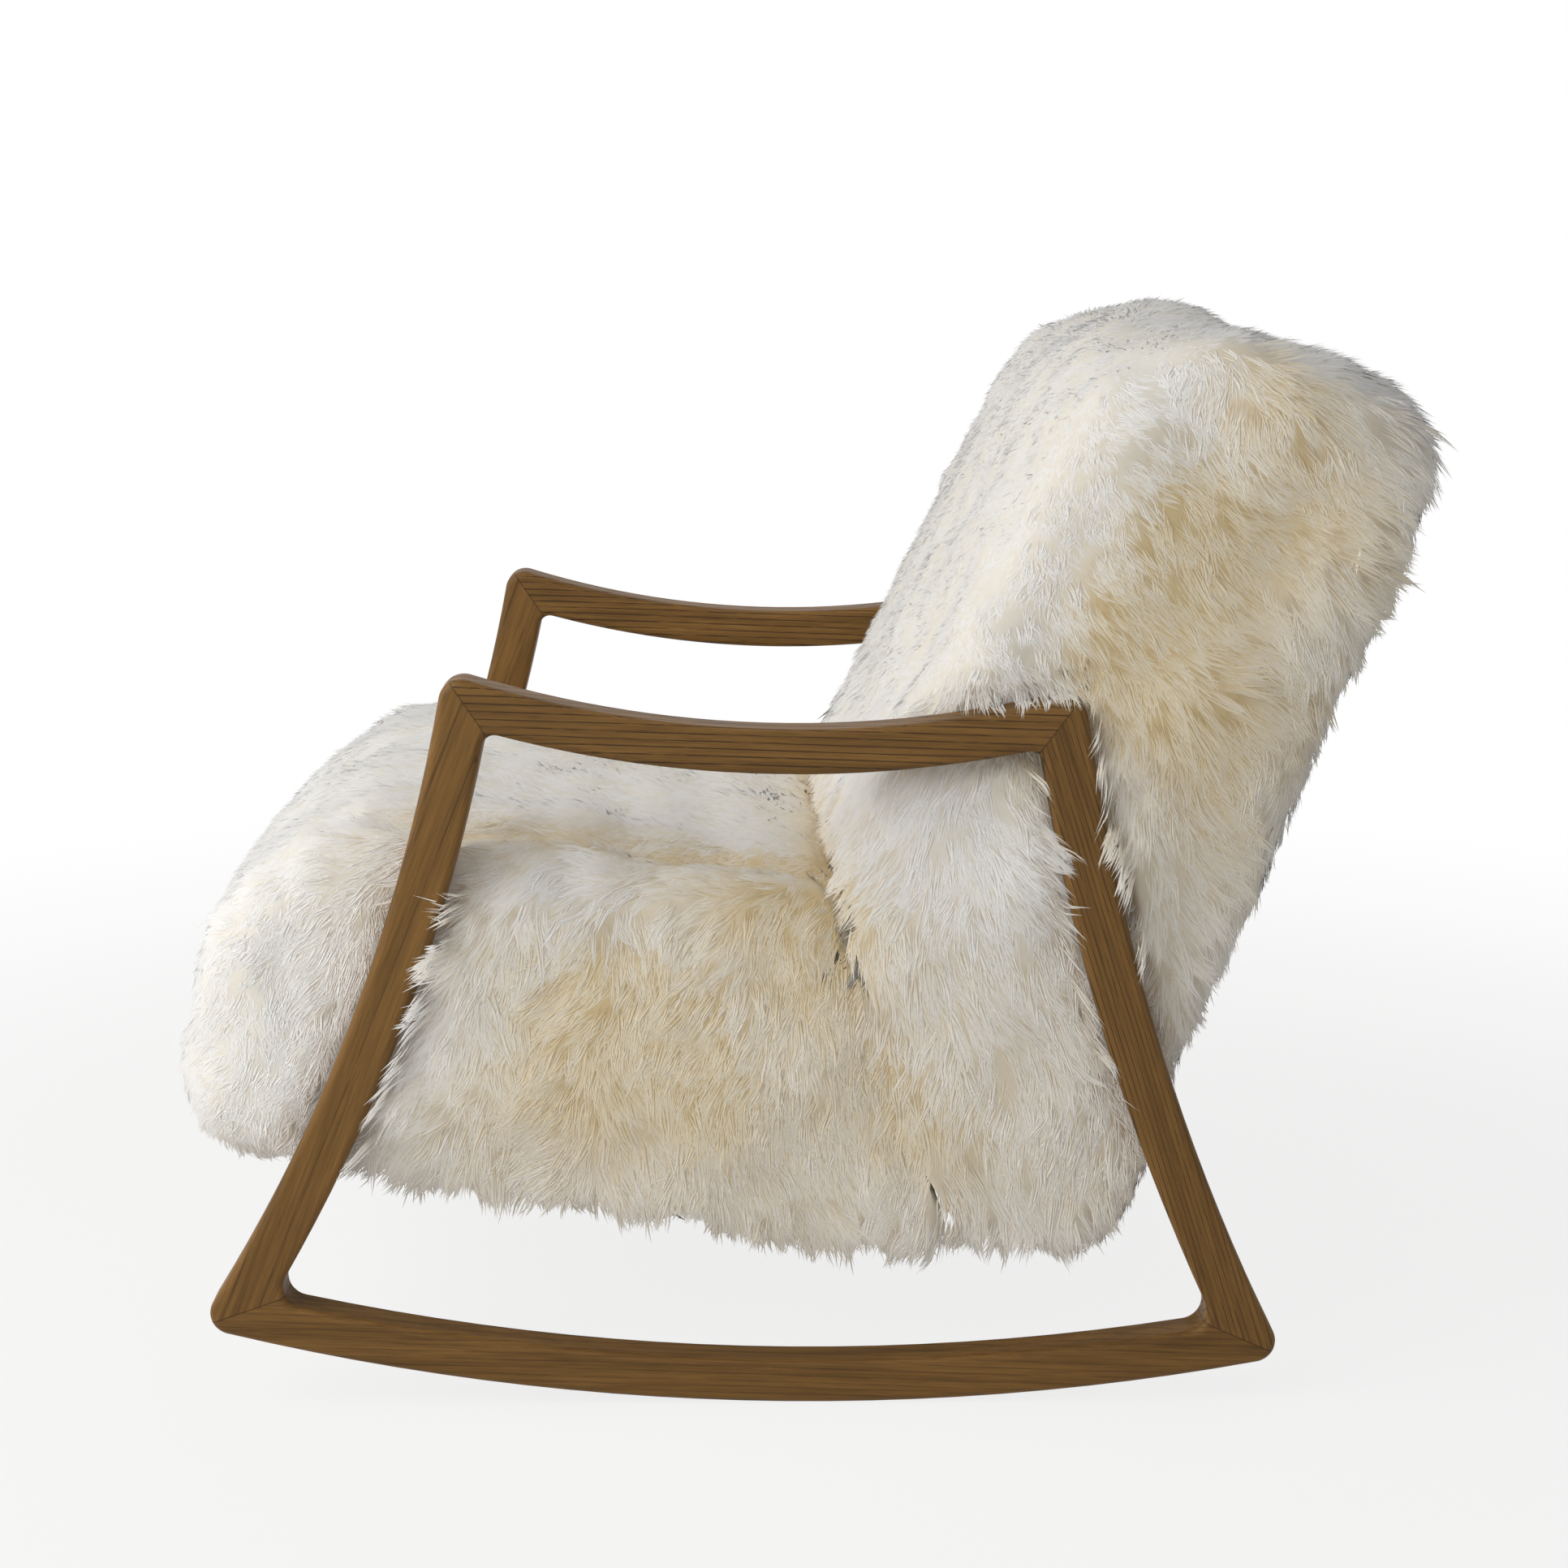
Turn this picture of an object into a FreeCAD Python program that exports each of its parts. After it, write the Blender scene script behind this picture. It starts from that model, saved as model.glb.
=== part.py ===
import FreeCAD, Part
import math
import os
from collections import namedtuple
import Sketcher

Vector = FreeCAD.Vector
Rotation = FreeCAD.Rotation
Placement = FreeCAD.Placement

# Rocking armchair: two mitred wooden side frames carry an upholstered seat and back between them.
# Millimetres and degrees. The front is -Y, up is +Z, the sitter's left is +X, the floor is Z = 0.
# Side view positions are (y, z). Left-hand pieces are drawn, and right-hand ones are their mirrors.

DIMENSIONS = [
    # side frames
    ("frame_width", 688),
    ("member_thickness", 38),
    ("rocker_radius", 1938),
    ("rocker_low_y", 25),
    ("rocker_front_y", -482),
    ("rocker_rear_y", 404),
    ("rocker_depth", 36),
    ("arm_front_y", -271),
    ("arm_front_z", 605),
    ("arm_rear_y", 229),
    ("arm_rear_z", 588),
    ("arm_bow", 36.7),
    ("arm_depth", 36),
    ("leg_depth", 40),
    ("front_leg_bow", 28.8),
    ("rear_leg_bow", 23.9),
    ("outer_corner_radius", 18),
    ("upper_inner_radius", 10),
    ("lower_inner_radius", 18),
    ("edge_round", 6),
    ("mitre_dowel_radius", 4),
    ("mitre_dowel_length", 30),
    ("mitre_dowel_pitch", 18),
    # inner frame
    ("seat_tilt", 8),
    ("seat_rail_y", -363),
    ("seat_rail_z", 238),
    ("front_rail_reach", 75),
    ("rail_thickness", 28),
    ("rail_depth", 70),
    ("glue_block_leg", 30),
    ("glue_block_height", 56),
    ("back_lean", 22),
    ("back_post_y", 219),
    ("back_post_z", 291),
    ("post_depth", 140),
    ("post_rise", 559),
    ("post_drop", 150),
    ("back_rail_height", 60),
    ("lumbar_rail_rise", 134),
    ("rail_dowel_radius", 5),
    ("rail_dowel_length", 44),
    ("rail_dowel_pitch", 34),
    ("strap_width", 50),
    ("strap_thickness", 3),
    ("strap_landing", 20),
    ("dust_cover_thickness", 1.5),
    # fixing of the upholstered body to the legs
    ("bolt_radius", 4),
    ("bolt_pitch", 40),
    ("bolt_head_radius", 6.5),
    ("bolt_head_height", 8),
    ("bolt_engagement", 16),
    ("washer_radius", 10),
    ("washer_thickness", 2),
    ("spacer_radius", 12),
    ("insert_radius", 6),
    ("insert_length", 20),
    ("fit_clearance", 0.1),
    # sheepskin, pelt and wool together
    ("side_pile", 36),
    ("pile", 40),
    ("side_swell", 26),
    ("flank_draw", 5),
    ("shoulder_draw", 20),
    ("edge_draw", 52),
    ("wool_clearance", 0.3),
    ("crease_y", 29),
    ("crease_z", 440),
    ("seam_lean", 18),
    ("seam_tuck", 12),
    # furrows in the wool: along the seat top beside each side panel, and across the top of the back
    ("valley_inset", 8),
    ("valley_radius", 26),
    ("valley_depth", 14),
    ("dent_y", 392),
    ("dent_radius", 90),
    ("dent_depth", 7),
    # seat outline at the sides, and how far the middle swells beyond it
    ("seat_nose_y", -512),
    ("seat_nose_z", 187),
    ("seat_nose_radius", 78),
    ("seat_brow_y", -444),
    ("seat_brow_z", 492),
    ("seat_brow_radius", 140),
    ("seat_rear_y", 67),
    ("seat_rear_z", 434),
    ("seat_heel_y", 167),
    ("seat_heel_z", 87),
    ("nose_swell", 24),
    ("brow_swell", 32),
    ("brow_roll", 110),
    ("seat_crown", 46),
    ("rear_crown", 24),
    ("seat_belly", 5),
    # back outline at the sides, and how far the middle swells beyond it
    ("back_foot_y", -140),
    ("back_foot_z", 93),
    ("back_crest_y", 271),
    ("back_crest_z", 906),
    ("back_crest_radius", 150),
    ("back_nape_y", 534),
    ("back_nape_z", 790),
    ("back_nape_radius", 70),
    ("back_heel_y", 261),
    ("back_heel_z", 93),
    ("back_heel_radius", 80),
    ("back_front_swell", 20),
    ("back_rear_swell", 12),
    ("back_crown", 9),
    ("back_belly", 4),
]

# Straps across the seat and across the back.
SEAT_STRAPS = 6
BACK_STRAPS = 6

# Share of the swell at each station across the upholstery, from the middle outwards.
MIDDLE_SWELL = 1.0
QUARTER_SWELL = 0.75
FLANK_SWELL = 0.2
QUARTER_PLACE = 0.55

# Small radius of the outline corners that lie hidden in the seam between seat and back.
HIDDEN_RADIUS = 10

# The rounding of a member's long edges stays under half its thickness.
EDGE_ROUND_FORMULA = "min(sizes.edge_round; 0.45 * sizes.member_thickness)"

# Reach of the solids that only trim others, well past the whole chair.
TRIM = 3000

doc = FreeCAD.newDocument("rocking_armchair")
sheet = doc.addObject("Spreadsheet::Sheet", "sizes")
for row, (alias, value) in enumerate(DIMENSIONS, start=1):
    sheet.set(f"A{row}", alias)
    sheet.set(f"B{row}", str(value))
    sheet.setAlias(f"B{row}", alias)
doc.recompute()

subparts = []


def size(alias):
    return float(sheet.get(alias))


def bind(item, **formulas):
    for name, formula in formulas.items():
        item.setExpression(name, formula)


def keep(item, label):
    item.Label = label
    subparts.append(item)
    return item


def shaped(label, shape):
    item = doc.addObject("Part::Feature", label)
    item.Shape = shape
    return item


def box(label, place, length, width, height):
    item = doc.addObject("Part::Box", label)
    for name, amount in (("Length", length), ("Width", width), ("Height", height)):
        if isinstance(amount, str):
            item.setExpression(name, amount)
        else:
            setattr(item, name, amount)
    item.Placement = place
    return item


def rod(label, start, direction, radius, height):
    item = doc.addObject("Part::Cylinder", label)
    bind(item, Radius=radius, Height=height)
    item.Placement = Placement(start, Rotation(Vector(0, 0, 1), direction))
    return item


def cut(label, base, tool):
    item = doc.addObject("Part::Cut", label)
    item.Base = base
    item.Tool = tool
    return item


def common(label, base, tool):
    item = doc.addObject("Part::Common", label)
    item.Base = base
    item.Tool = tool
    return item


def group(label, items):
    item = doc.addObject("Part::Compound", label)
    item.Links = items
    return item


def mirrored(label, source):
    item = doc.addObject("Part::Mirroring", label)
    item.Source = source
    item.Normal = Vector(1, 0, 0)
    return item


def keep_pair(label, left):
    # A left-hand piece and its mirror, as two sub-parts.
    keep(left, f"{label}_left")
    keep(mirrored(f"{label}_right", left), f"{label}_right")


def keep_both(label, left):
    # Left-hand pieces and their mirrors together, as one sub-part.
    keep(group(label, [left, mirrored(f"{label}_mirror", left)]), label)


# Planes across the chair: inner face of the side frame, outer and inner face of the rails.
inner_face = size("frame_width") / 2 - size("member_thickness")
rail_outer = inner_face - size("side_pile")
rail_inner = rail_outer - size("rail_thickness")
inner_face_formula = "(sizes.frame_width / 2 - sizes.member_thickness)"
rail_inner_formula = f"({inner_face_formula} - sizes.side_pile - sizes.rail_thickness)"

# Side frame in the side view: each member runs between two concentric arcs.
Member = namedtuple("Member", "centre outer inner")
inside_point = (size("rocker_low_y"), size("arm_front_z") / 2)


def between(start, end):
    return math.hypot(end[0] - start[0], end[1] - start[1])


def bowed_member(start, end, bow, depth):
    # The outer edge joins two corners and dips by the bow towards the inside of the frame.
    chord = between(start, end)
    radius = chord**2 / (8 * bow) + bow / 2
    middle = ((start[0] + end[0]) / 2, (start[1] + end[1]) / 2)
    normal = ((end[1] - start[1]) / chord, (start[0] - end[0]) / chord)
    towards = normal[0] * (inside_point[0] - middle[0]) + normal[1] * (inside_point[1] - middle[1])
    out = -math.copysign(radius - bow, towards)
    centre = (middle[0] + normal[0] * out, middle[1] + normal[1] * out)
    return Member(centre, radius, radius + depth)


def meeting(first, first_radius, second, second_radius, near):
    # Point where two circles meet, the one of the two nearer to a given point.
    apart = between(first, second)
    along = (apart**2 + first_radius**2 - second_radius**2) / (2 * apart)
    across = math.sqrt(first_radius**2 - along**2)
    ahead = ((second[0] - first[0]) / apart, (second[1] - first[1]) / apart)
    points = []
    for side in (-across, across):
        y = first[0] + ahead[0] * along - ahead[1] * side
        z = first[1] + ahead[1] * along + ahead[0] * side
        points.append((y, z))
    return min(points, key=lambda point: between(point, near))


def rocker_height(y):
    return size("rocker_radius") - math.sqrt(size("rocker_radius") ** 2 - (y - size("rocker_low_y")) ** 2)


arm_front = (size("arm_front_y"), size("arm_front_z"))
arm_rear = (size("arm_rear_y"), size("arm_rear_z"))
rocker_front = (size("rocker_front_y"), rocker_height(size("rocker_front_y")))
rocker_rear = (size("rocker_rear_y"), rocker_height(size("rocker_rear_y")))

arm = bowed_member(arm_front, arm_rear, size("arm_bow"), size("arm_depth"))
rear_leg = bowed_member(arm_rear, rocker_rear, size("rear_leg_bow"), size("leg_depth"))
front_leg = bowed_member(rocker_front, arm_front, size("front_leg_bow"), size("leg_depth"))
rocker_centre = (size("rocker_low_y"), size("rocker_radius"))
rocker = Member(rocker_centre, size("rocker_radius"), size("rocker_radius") - size("rocker_depth"))

# The members and outer corners in order round the frame, each member from its corner to the next.
ring_names = ("armrest", "rear_leg", "rocker", "front_leg")
ring_members = (arm, rear_leg, rocker, front_leg)
ring_corners = (arm_front, arm_rear, rocker_rear, rocker_front)


def ring_points(outer_grow, inner_grow):
    # Corners of the outer and inner outline when both edges of every member stand off by some amount.
    outer_points = []
    inner_points = []
    for k, corner in enumerate(ring_corners):
        before = ring_members[k - 1]
        after = ring_members[k]
        grown = []
        for member in (before, after):
            way = 1 if member.inner > member.outer else -1
            grown.append((member.outer - way * outer_grow, member.inner + way * inner_grow))
        outer_points.append(meeting(before.centre, grown[0][0], after.centre, grown[1][0], corner))
        inner_points.append(meeting(before.centre, grown[0][1], after.centre, grown[1][1], corner))
    return outer_points, inner_points


outer_corners, inner_corners = ring_points(0, 0)


def arc_between(centre, start, end):
    # Shorter arc of a circle from one point to another, with the number of the end that lies at the start.
    radius = between(centre, start)
    first = math.atan2(start[1] - centre[1], start[0] - centre[0])
    last = math.atan2(end[1] - centre[1], end[0] - centre[0])
    circle = Part.Circle(Vector(centre[0], centre[1], 0), Vector(0, 0, 1), radius)
    if (last - first) % (2 * math.pi) < math.pi:
        return Part.ArcOfCircle(circle, first, last), 1
    return Part.ArcOfCircle(circle, last, first), 2


def chord_radius(start, end, bow):
    # Radius of the arc through two corners with a given bow, as a formula.
    chord = f"(({start[0]}) - ({end[0]}))^2 + (({start[1]}) - ({end[1]}))^2"
    return f"({chord}) / (8 * {bow}) + {bow} / 2"


def rocker_height_formula(y):
    return f"sizes.rocker_radius - sqrt(sizes.rocker_radius^2 - ({y} - sizes.rocker_low_y)^2)"


def draw_frame_outline(sketch):
    # Two closed loops of four arcs: the inner arcs share the centres of the outer ones.
    def add_loop(points):
        ids = []
        for k, member in enumerate(ring_members):
            arc, near_end = arc_between(member.centre, points[k], points[(k + 1) % 4])
            ids.append((sketch.addGeometry(arc, False), near_end, 3 - near_end))
        for k in range(4):
            here = ids[k]
            after = ids[(k + 1) % 4]
            sketch.addConstraint(Sketcher.Constraint("Coincident", here[0], here[2], after[0], after[1]))
        return ids

    def hold(constraint, formula):
        index = sketch.addConstraint(constraint)
        sketch.setExpression(f"Constraints[{index}]", formula)

    def hold_place(kind, geometry, end, formula, value):
        hold(Sketcher.Constraint(kind, -1, 1, geometry, end, value), formula)

    outer = add_loop(outer_corners)
    inner = add_loop(inner_corners)
    arm_id, rear_id, rocker_id, front_id = outer
    hold_place("DistanceX", arm_id[0], arm_id[1], "sizes.arm_front_y", arm_front[0])
    hold_place("DistanceY", arm_id[0], arm_id[1], "sizes.arm_front_z", arm_front[1])
    hold_place("DistanceX", arm_id[0], arm_id[2], "sizes.arm_rear_y", arm_rear[0])
    hold_place("DistanceY", arm_id[0], arm_id[2], "sizes.arm_rear_z", arm_rear[1])
    hold_place("DistanceX", rocker_id[0], rocker_id[1], "sizes.rocker_rear_y", rocker_rear[0])
    hold_place("DistanceX", rocker_id[0], rocker_id[2], "sizes.rocker_front_y", rocker_front[0])
    hold_place("DistanceX", rocker_id[0], 3, "sizes.rocker_low_y", rocker_centre[0])
    hold_place("DistanceY", rocker_id[0], 3, "sizes.rocker_radius", rocker_centre[1])

    front_top = ("sizes.arm_front_y", "sizes.arm_front_z")
    rear_top = ("sizes.arm_rear_y", "sizes.arm_rear_z")
    front_foot = ("sizes.rocker_front_y", rocker_height_formula("sizes.rocker_front_y"))
    rear_foot = ("sizes.rocker_rear_y", rocker_height_formula("sizes.rocker_rear_y"))
    radii = (
        chord_radius(front_top, rear_top, "sizes.arm_bow"),
        chord_radius(rear_top, rear_foot, "sizes.rear_leg_bow"),
        "sizes.rocker_radius",
        chord_radius(front_foot, front_top, "sizes.front_leg_bow"),
    )
    depths = ("+ sizes.arm_depth", "+ sizes.leg_depth", "- sizes.rocker_depth", "+ sizes.leg_depth")
    for k, member in enumerate(ring_members):
        hold(Sketcher.Constraint("Radius", outer[k][0], member.outer), radii[k])
        sketch.addConstraint(Sketcher.Constraint("Coincident", inner[k][0], 3, outer[k][0], 3))
        hold(Sketcher.Constraint("Radius", inner[k][0], member.inner), f"{radii[k]} {depths[k]}")


def edges_near(shape, points):
    # Names of the edges that run across the chair through the given side view points.
    names = []
    for number, edge in enumerate(shape.Edges, start=1):
        bounds = edge.BoundBox
        if bounds.YLength + bounds.ZLength > 1e-3:
            continue
        if min(between((bounds.YMin, bounds.ZMin), point) for point in points) < 1:
            names.append(f"Edge{number}")
    return names


def rim_edges(shape):
    # Names of the edges that lie in the two flat faces of the frame.
    return [f"Edge{k}" for k, edge in enumerate(shape.Edges, start=1) if edge.BoundBox.XLength < 1e-3]


def rounded(body, label, base, edge_names, radius):
    fillet = body.newObject("PartDesign::Fillet", label)
    fillet.Base = (base, edge_names)
    bind(fillet, Radius=radius)
    return fillet


def make_side_frame_blank():
    body = doc.addObject("PartDesign::Body", "side_frame_blank")
    plane = [item for item in body.Origin.OriginFeatures if item.Role == "YZ_Plane"][0]
    sketch = body.newObject("Sketcher::SketchObject", "side_frame_outline")
    sketch.AttachmentSupport = (plane, [""])
    sketch.MapMode = "FlatFace"
    sketch.setExpression(".AttachmentOffset.Base.z", inner_face_formula)
    draw_frame_outline(sketch)
    pad = body.newObject("PartDesign::Pad", "side_frame_pad")
    pad.Profile = sketch
    bind(pad, Length="sizes.member_thickness")
    corner_rounds = (
        ("outer_corners", outer_corners, "sizes.outer_corner_radius"),
        ("upper_corners", inner_corners[:2], "sizes.upper_inner_radius"),
        ("lower_corners", inner_corners[2:], "sizes.lower_inner_radius"),
    )
    solid = pad
    for label, points, radius in corner_rounds:
        doc.recompute()
        solid = rounded(body, label, solid, edges_near(solid.Shape, points), radius)
    doc.recompute()
    rounded(body, "eased_edges", solid, rim_edges(solid.Shape), EDGE_ROUND_FORMULA)
    doc.recompute()
    return body


def mitre_middle(k):
    return (
        (outer_corners[k][0] + inner_corners[k][0]) / 2,
        (outer_corners[k][1] + inner_corners[k][1]) / 2,
    )


def mitre_direction(k):
    # Unit vector along the mitre of a corner, from the inside of the frame outwards.
    length = between(inner_corners[k], outer_corners[k])
    return Vector(
        0,
        (outer_corners[k][0] - inner_corners[k][0]) / length,
        (outer_corners[k][1] - inner_corners[k][1]) / length,
    )


def mitre_wedge(k):
    # Prism that holds one member: its two ends follow the mitres of its corners.
    after = (k + 1) % 4
    low_x = inner_face - size("member_thickness")
    points = [Vector(low_x, *inside_point)]
    for number, order in ((k, 1), (after, -1)):
        inner = Vector(low_x, *inner_corners[number])
        far = inner + mitre_direction(number) * size("frame_width")
        points += [inner, far][::order]
    face = Part.Face(Part.makePolygon(points + points[:1]))
    return shaped(f"{ring_names[k]}_wedge", face.extrude(Vector(3 * size("member_thickness"), 0, 0)))


def mitre_rods(label, k, play):
    # Two rods side by side, square through the middle of one mitre, with some play all round.
    middle = mitre_middle(k)
    through = mitre_direction(k).cross(Vector(1, 0, 0))
    frame_middle = inner_face + size("member_thickness") / 2
    start = through * (size("mitre_dowel_length") / 2 + play)
    radius = f"sizes.mitre_dowel_radius + {play}"
    length = f"sizes.mitre_dowel_length + 2 * {play}"
    rods = []
    for number, side in enumerate((-0.5, 0.5), start=1):
        place = Vector(frame_middle + side * size("mitre_dowel_pitch"), *middle) - start
        rods.append(rod(f"{label}_{k + 1}_{number}", place, through, radius, length))
    return rods


# Local frames of the seat and the back: "along" runs rearwards and down, "up" leans rearwards.
Leaning = namedtuple("Leaning", "origin lean")
seat_frame = Leaning((size("seat_rail_y"), size("seat_rail_z")), size("seat_tilt"))
back_frame = Leaning((size("back_post_y"), size("back_post_z")), size("back_lean"))
seam_frame = Leaning((size("crease_y"), size("crease_z")), -size("seam_lean"))


def lean_place(frame, x, along, up):
    turn = Rotation(Vector(1, 0, 0), -frame.lean)
    return Placement(Vector(0, *frame.origin) + turn.multVec(Vector(x, along, up)), turn)


def lean_axis(frame, axis):
    return Rotation(Vector(1, 0, 0), -frame.lean).multVec(axis)


def trim_box(label, frame, along, depth):
    # Box that reaches past the chair on all sides but two: it starts some way along and has a depth.
    return box(label, lean_place(frame, -TRIM, along, -TRIM), 2 * TRIM, depth, 2 * TRIM)


def trim_slab(label, low_x, thickness):
    # Upright slab across the chair, from one plane outwards.
    return box(label, Placement(Vector(low_x, -TRIM, -TRIM), Rotation()), thickness, 2 * TRIM, 2 * TRIM)


def line_meets_member(origin, direction, member):
    # Point where a straight piece crosses the middle line of a curved member.
    radius = (member.outer + member.inner) / 2
    away = (origin[0] - member.centre[0], origin[1] - member.centre[1])
    half = away[0] * direction.y + away[1] * direction.z
    root = math.sqrt(half**2 - (away[0] ** 2 + away[1] ** 2 - radius**2))
    travel = min((-half - root, -half + root), key=abs)
    return (origin[0] + travel * direction.y, origin[1] + travel * direction.z)


def bolt_pair(origin, direction, member):
    # Two bolts on the middle line of a leg, either side of the piece that it carries.
    middle = line_meets_member(origin, direction, member)
    radial = Vector(0, middle[0] - member.centre[0], middle[1] - member.centre[1]).normalize()
    tangent = Vector(1, 0, 0).cross(radial)
    step = tangent * (size("bolt_pitch") / 2)
    return [(middle[0] - step.y, middle[1] - step.z), (middle[0] + step.y, middle[1] + step.z)]


front_bolts = bolt_pair(seat_frame.origin, lean_axis(seat_frame, Vector(0, 1, 0)), front_leg)
rear_bolts = bolt_pair(back_frame.origin, lean_axis(back_frame, Vector(0, 0, 1)), rear_leg)
bolt_points = front_bolts + rear_bolts


def across(label, start_x, points, radius, length):
    # One rod across the chair at each side view point.
    rods = []
    for number, point in enumerate(points, start=1):
        rods.append(rod(f"{label}_{number}", Vector(start_x, *point), Vector(1, 0, 0), radius, length))
    return rods


def make_side_frames():
    blank = make_side_frame_blank()
    dowels = []
    for k in range(4):
        dowels += mitre_rods("mitre_dowel", k, 0)
    insert_radius = "sizes.insert_radius + sizes.fit_clearance"
    insert_depth = "sizes.insert_length + sizes.fit_clearance"
    insert_holes = {
        "front_leg": across("front_insert_hole", inner_face, front_bolts, insert_radius, insert_depth),
        "rear_leg": across("rear_insert_hole", inner_face, rear_bolts, insert_radius, insert_depth),
    }
    for k, name in enumerate(ring_names):
        holes = []
        for corner in (k, (k + 1) % 4):
            holes += mitre_rods(f"{name}_dowel_hole", corner, size("fit_clearance"))
        holes += insert_holes.get(name, [])
        member = common(f"{name}_solid", blank, mitre_wedge(k))
        keep_pair(name, cut(f"{name}_left", member, group(f"{name}_holes", holes)))
    keep_pair("mitre_dowels", group("mitre_dowels_left", dowels))


def post_front_reach(up):
    # Distance along the seat rails, at some height on them, to the front face of the back posts.
    start = lean_place(seat_frame, 0, 0, up).Base
    face = lean_place(back_frame, 0, -size("post_depth") / 2, 0).Base
    normal = lean_axis(back_frame, Vector(0, 1, 0))
    return (face - start).dot(normal) / lean_axis(seat_frame, Vector(0, 1, 0)).dot(normal)


# The cross rails of the seat: front faces along the seat, and the rear one just clear of the posts.
half_rail = size("rail_depth") / 2
front_rail_along = -size("front_rail_reach")
rear_rail_along = post_front_reach(-half_rail) - size("rail_thickness") - size("fit_clearance")
back_rail_along = -size("post_depth") / 2
back_rail_ups = {
    "back_lower_rail": -size("post_drop"),
    "back_lumbar_rail": size("lumbar_rail_rise"),
    "back_top_rail": size("post_rise") - size("back_rail_height"),
}
rail_span_formula = f"2 * {rail_inner_formula}"


def rail_joint_points():
    # Side view points of the dowels that join the cross rails to the side rails and the posts.
    half_pitch = size("rail_dowel_pitch") / 2
    half_thick = size("rail_thickness") / 2
    seat_points = []
    for along in (front_rail_along, rear_rail_along):
        for up in (-half_pitch, half_pitch):
            seat_points.append(lean_place(seat_frame, 0, along + half_thick, up).Base)
    back_points = []
    for rail_up in back_rail_ups.values():
        for side in (-half_pitch, half_pitch):
            up = rail_up + size("back_rail_height") / 2 + side
            back_points.append(lean_place(back_frame, 0, back_rail_along + half_thick, up).Base)
    return [(p.y, p.z) for p in seat_points], [(p.y, p.z) for p in back_points]


def make_inner_frame():
    seat_joints, back_joints = rail_joint_points()
    dowel_start = rail_inner - size("rail_dowel_length") / 2
    hole_start = dowel_start - size("fit_clearance")
    hole_radius = "sizes.rail_dowel_radius + sizes.fit_clearance"
    hole_length = "sizes.rail_dowel_length + 2 * sizes.fit_clearance"
    bolt_hole_radius = "sizes.bolt_radius + sizes.fit_clearance"
    bolt_hole_start = rail_inner - size("fit_clearance")
    bolt_hole_length = "sizes.rail_thickness + 2 * sizes.fit_clearance"

    post_room = trim_box("post_room", back_frame, -size("post_depth") / 2, TRIM)
    run = size("front_rail_reach") + post_front_reach(half_rail)
    blank = box(
        "seat_side_rail_blank",
        lean_place(seat_frame, rail_inner, front_rail_along, -half_rail),
        "sizes.rail_thickness",
        run,
        "sizes.rail_depth",
    )
    fitted = cut("seat_side_rail_fitted", blank, post_room)
    holes = across("seat_rail_dowel_hole", hole_start, seat_joints, hole_radius, hole_length)
    holes += across("seat_rail_bolt_hole", bolt_hole_start, front_bolts, bolt_hole_radius, bolt_hole_length)
    keep_pair("seat_side_rail", cut("seat_side_rail_left", fitted, group("seat_rail_holes", holes)))

    post_blank = box(
        "back_post_blank",
        lean_place(back_frame, rail_inner, -size("post_depth") / 2, -size("post_drop")),
        "sizes.rail_thickness",
        "sizes.post_depth",
        "sizes.post_rise + sizes.post_drop",
    )
    holes = across("post_dowel_hole", hole_start, back_joints, hole_radius, hole_length)
    holes += across("post_bolt_hole", bolt_hole_start, rear_bolts, bolt_hole_radius, bolt_hole_length)
    keep_pair("back_post", cut("back_post_left", post_blank, group("post_holes", holes)))

    def cross_rail(label, frame, along, up, height, joints):
        place = lean_place(frame, -rail_inner, along, up)
        solid = box(f"{label}_blank", place, rail_span_formula, "sizes.rail_thickness", height)
        holes = across(f"{label}_hole", hole_start, joints, hole_radius, hole_length)
        left = group(f"{label}_holes_left", holes)
        drilled = cut(f"{label}_drilled", solid, left)
        keep(cut(label, drilled, mirrored(f"{label}_holes_right", left)), label)

    depth = "sizes.rail_depth"
    cross_rail("seat_front_rail", seat_frame, front_rail_along, -half_rail, depth, seat_joints[:2])
    cross_rail("seat_rear_rail", seat_frame, rear_rail_along, -half_rail, depth, seat_joints[2:])
    for k, (label, up) in enumerate(back_rail_ups.items()):
        joints = back_joints[2 * k : 2 * k + 2]
        cross_rail(label, back_frame, back_rail_along, up, "sizes.back_rail_height", joints)

    joints = seat_joints + back_joints
    dowels = across("rail_dowel", dowel_start, joints, "sizes.rail_dowel_radius", "sizes.rail_dowel_length")
    keep_both("rail_dowels", group("rail_dowels_left", dowels))


def make_glue_blocks():
    # Triangular blocks in the corners between the side rails and the cross rails of the seat,
    # notched where a bolt's washer lies against the side rail.
    leg = size("glue_block_leg")
    height = size("glue_block_height")
    corners = (
        (front_rail_along + size("rail_thickness"), leg),
        (rear_rail_along, -leg),
    )
    blocks = []
    for number, (along, reach) in enumerate(corners, start=1):
        corner = Vector(rail_inner, along, -height / 2)
        points = [corner, corner + Vector(-leg, 0, 0), corner + Vector(0, reach, 0), corner]
        prism = Part.Face(Part.makePolygon(points)).extrude(Vector(0, 0, height))
        block = shaped(f"glue_block_{number}", prism)
        block.Placement = lean_place(seat_frame, 0, 0, 0)
        blocks.append(block)
    notch_start = rail_inner - leg
    notch_radius = "sizes.washer_radius + sizes.fit_clearance"
    notches = across("washer_notch", notch_start, bolt_points, notch_radius, "sizes.glue_block_leg")
    notched = cut("notched_blocks", group("glue_blocks", blocks), group("washer_notches", notches))
    keep_both("seat_corner_blocks", notched)


strap_reach = rail_inner + size("strap_landing")
strap_length_formula = f"2 * ({rail_inner_formula} + sizes.strap_landing)"


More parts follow.
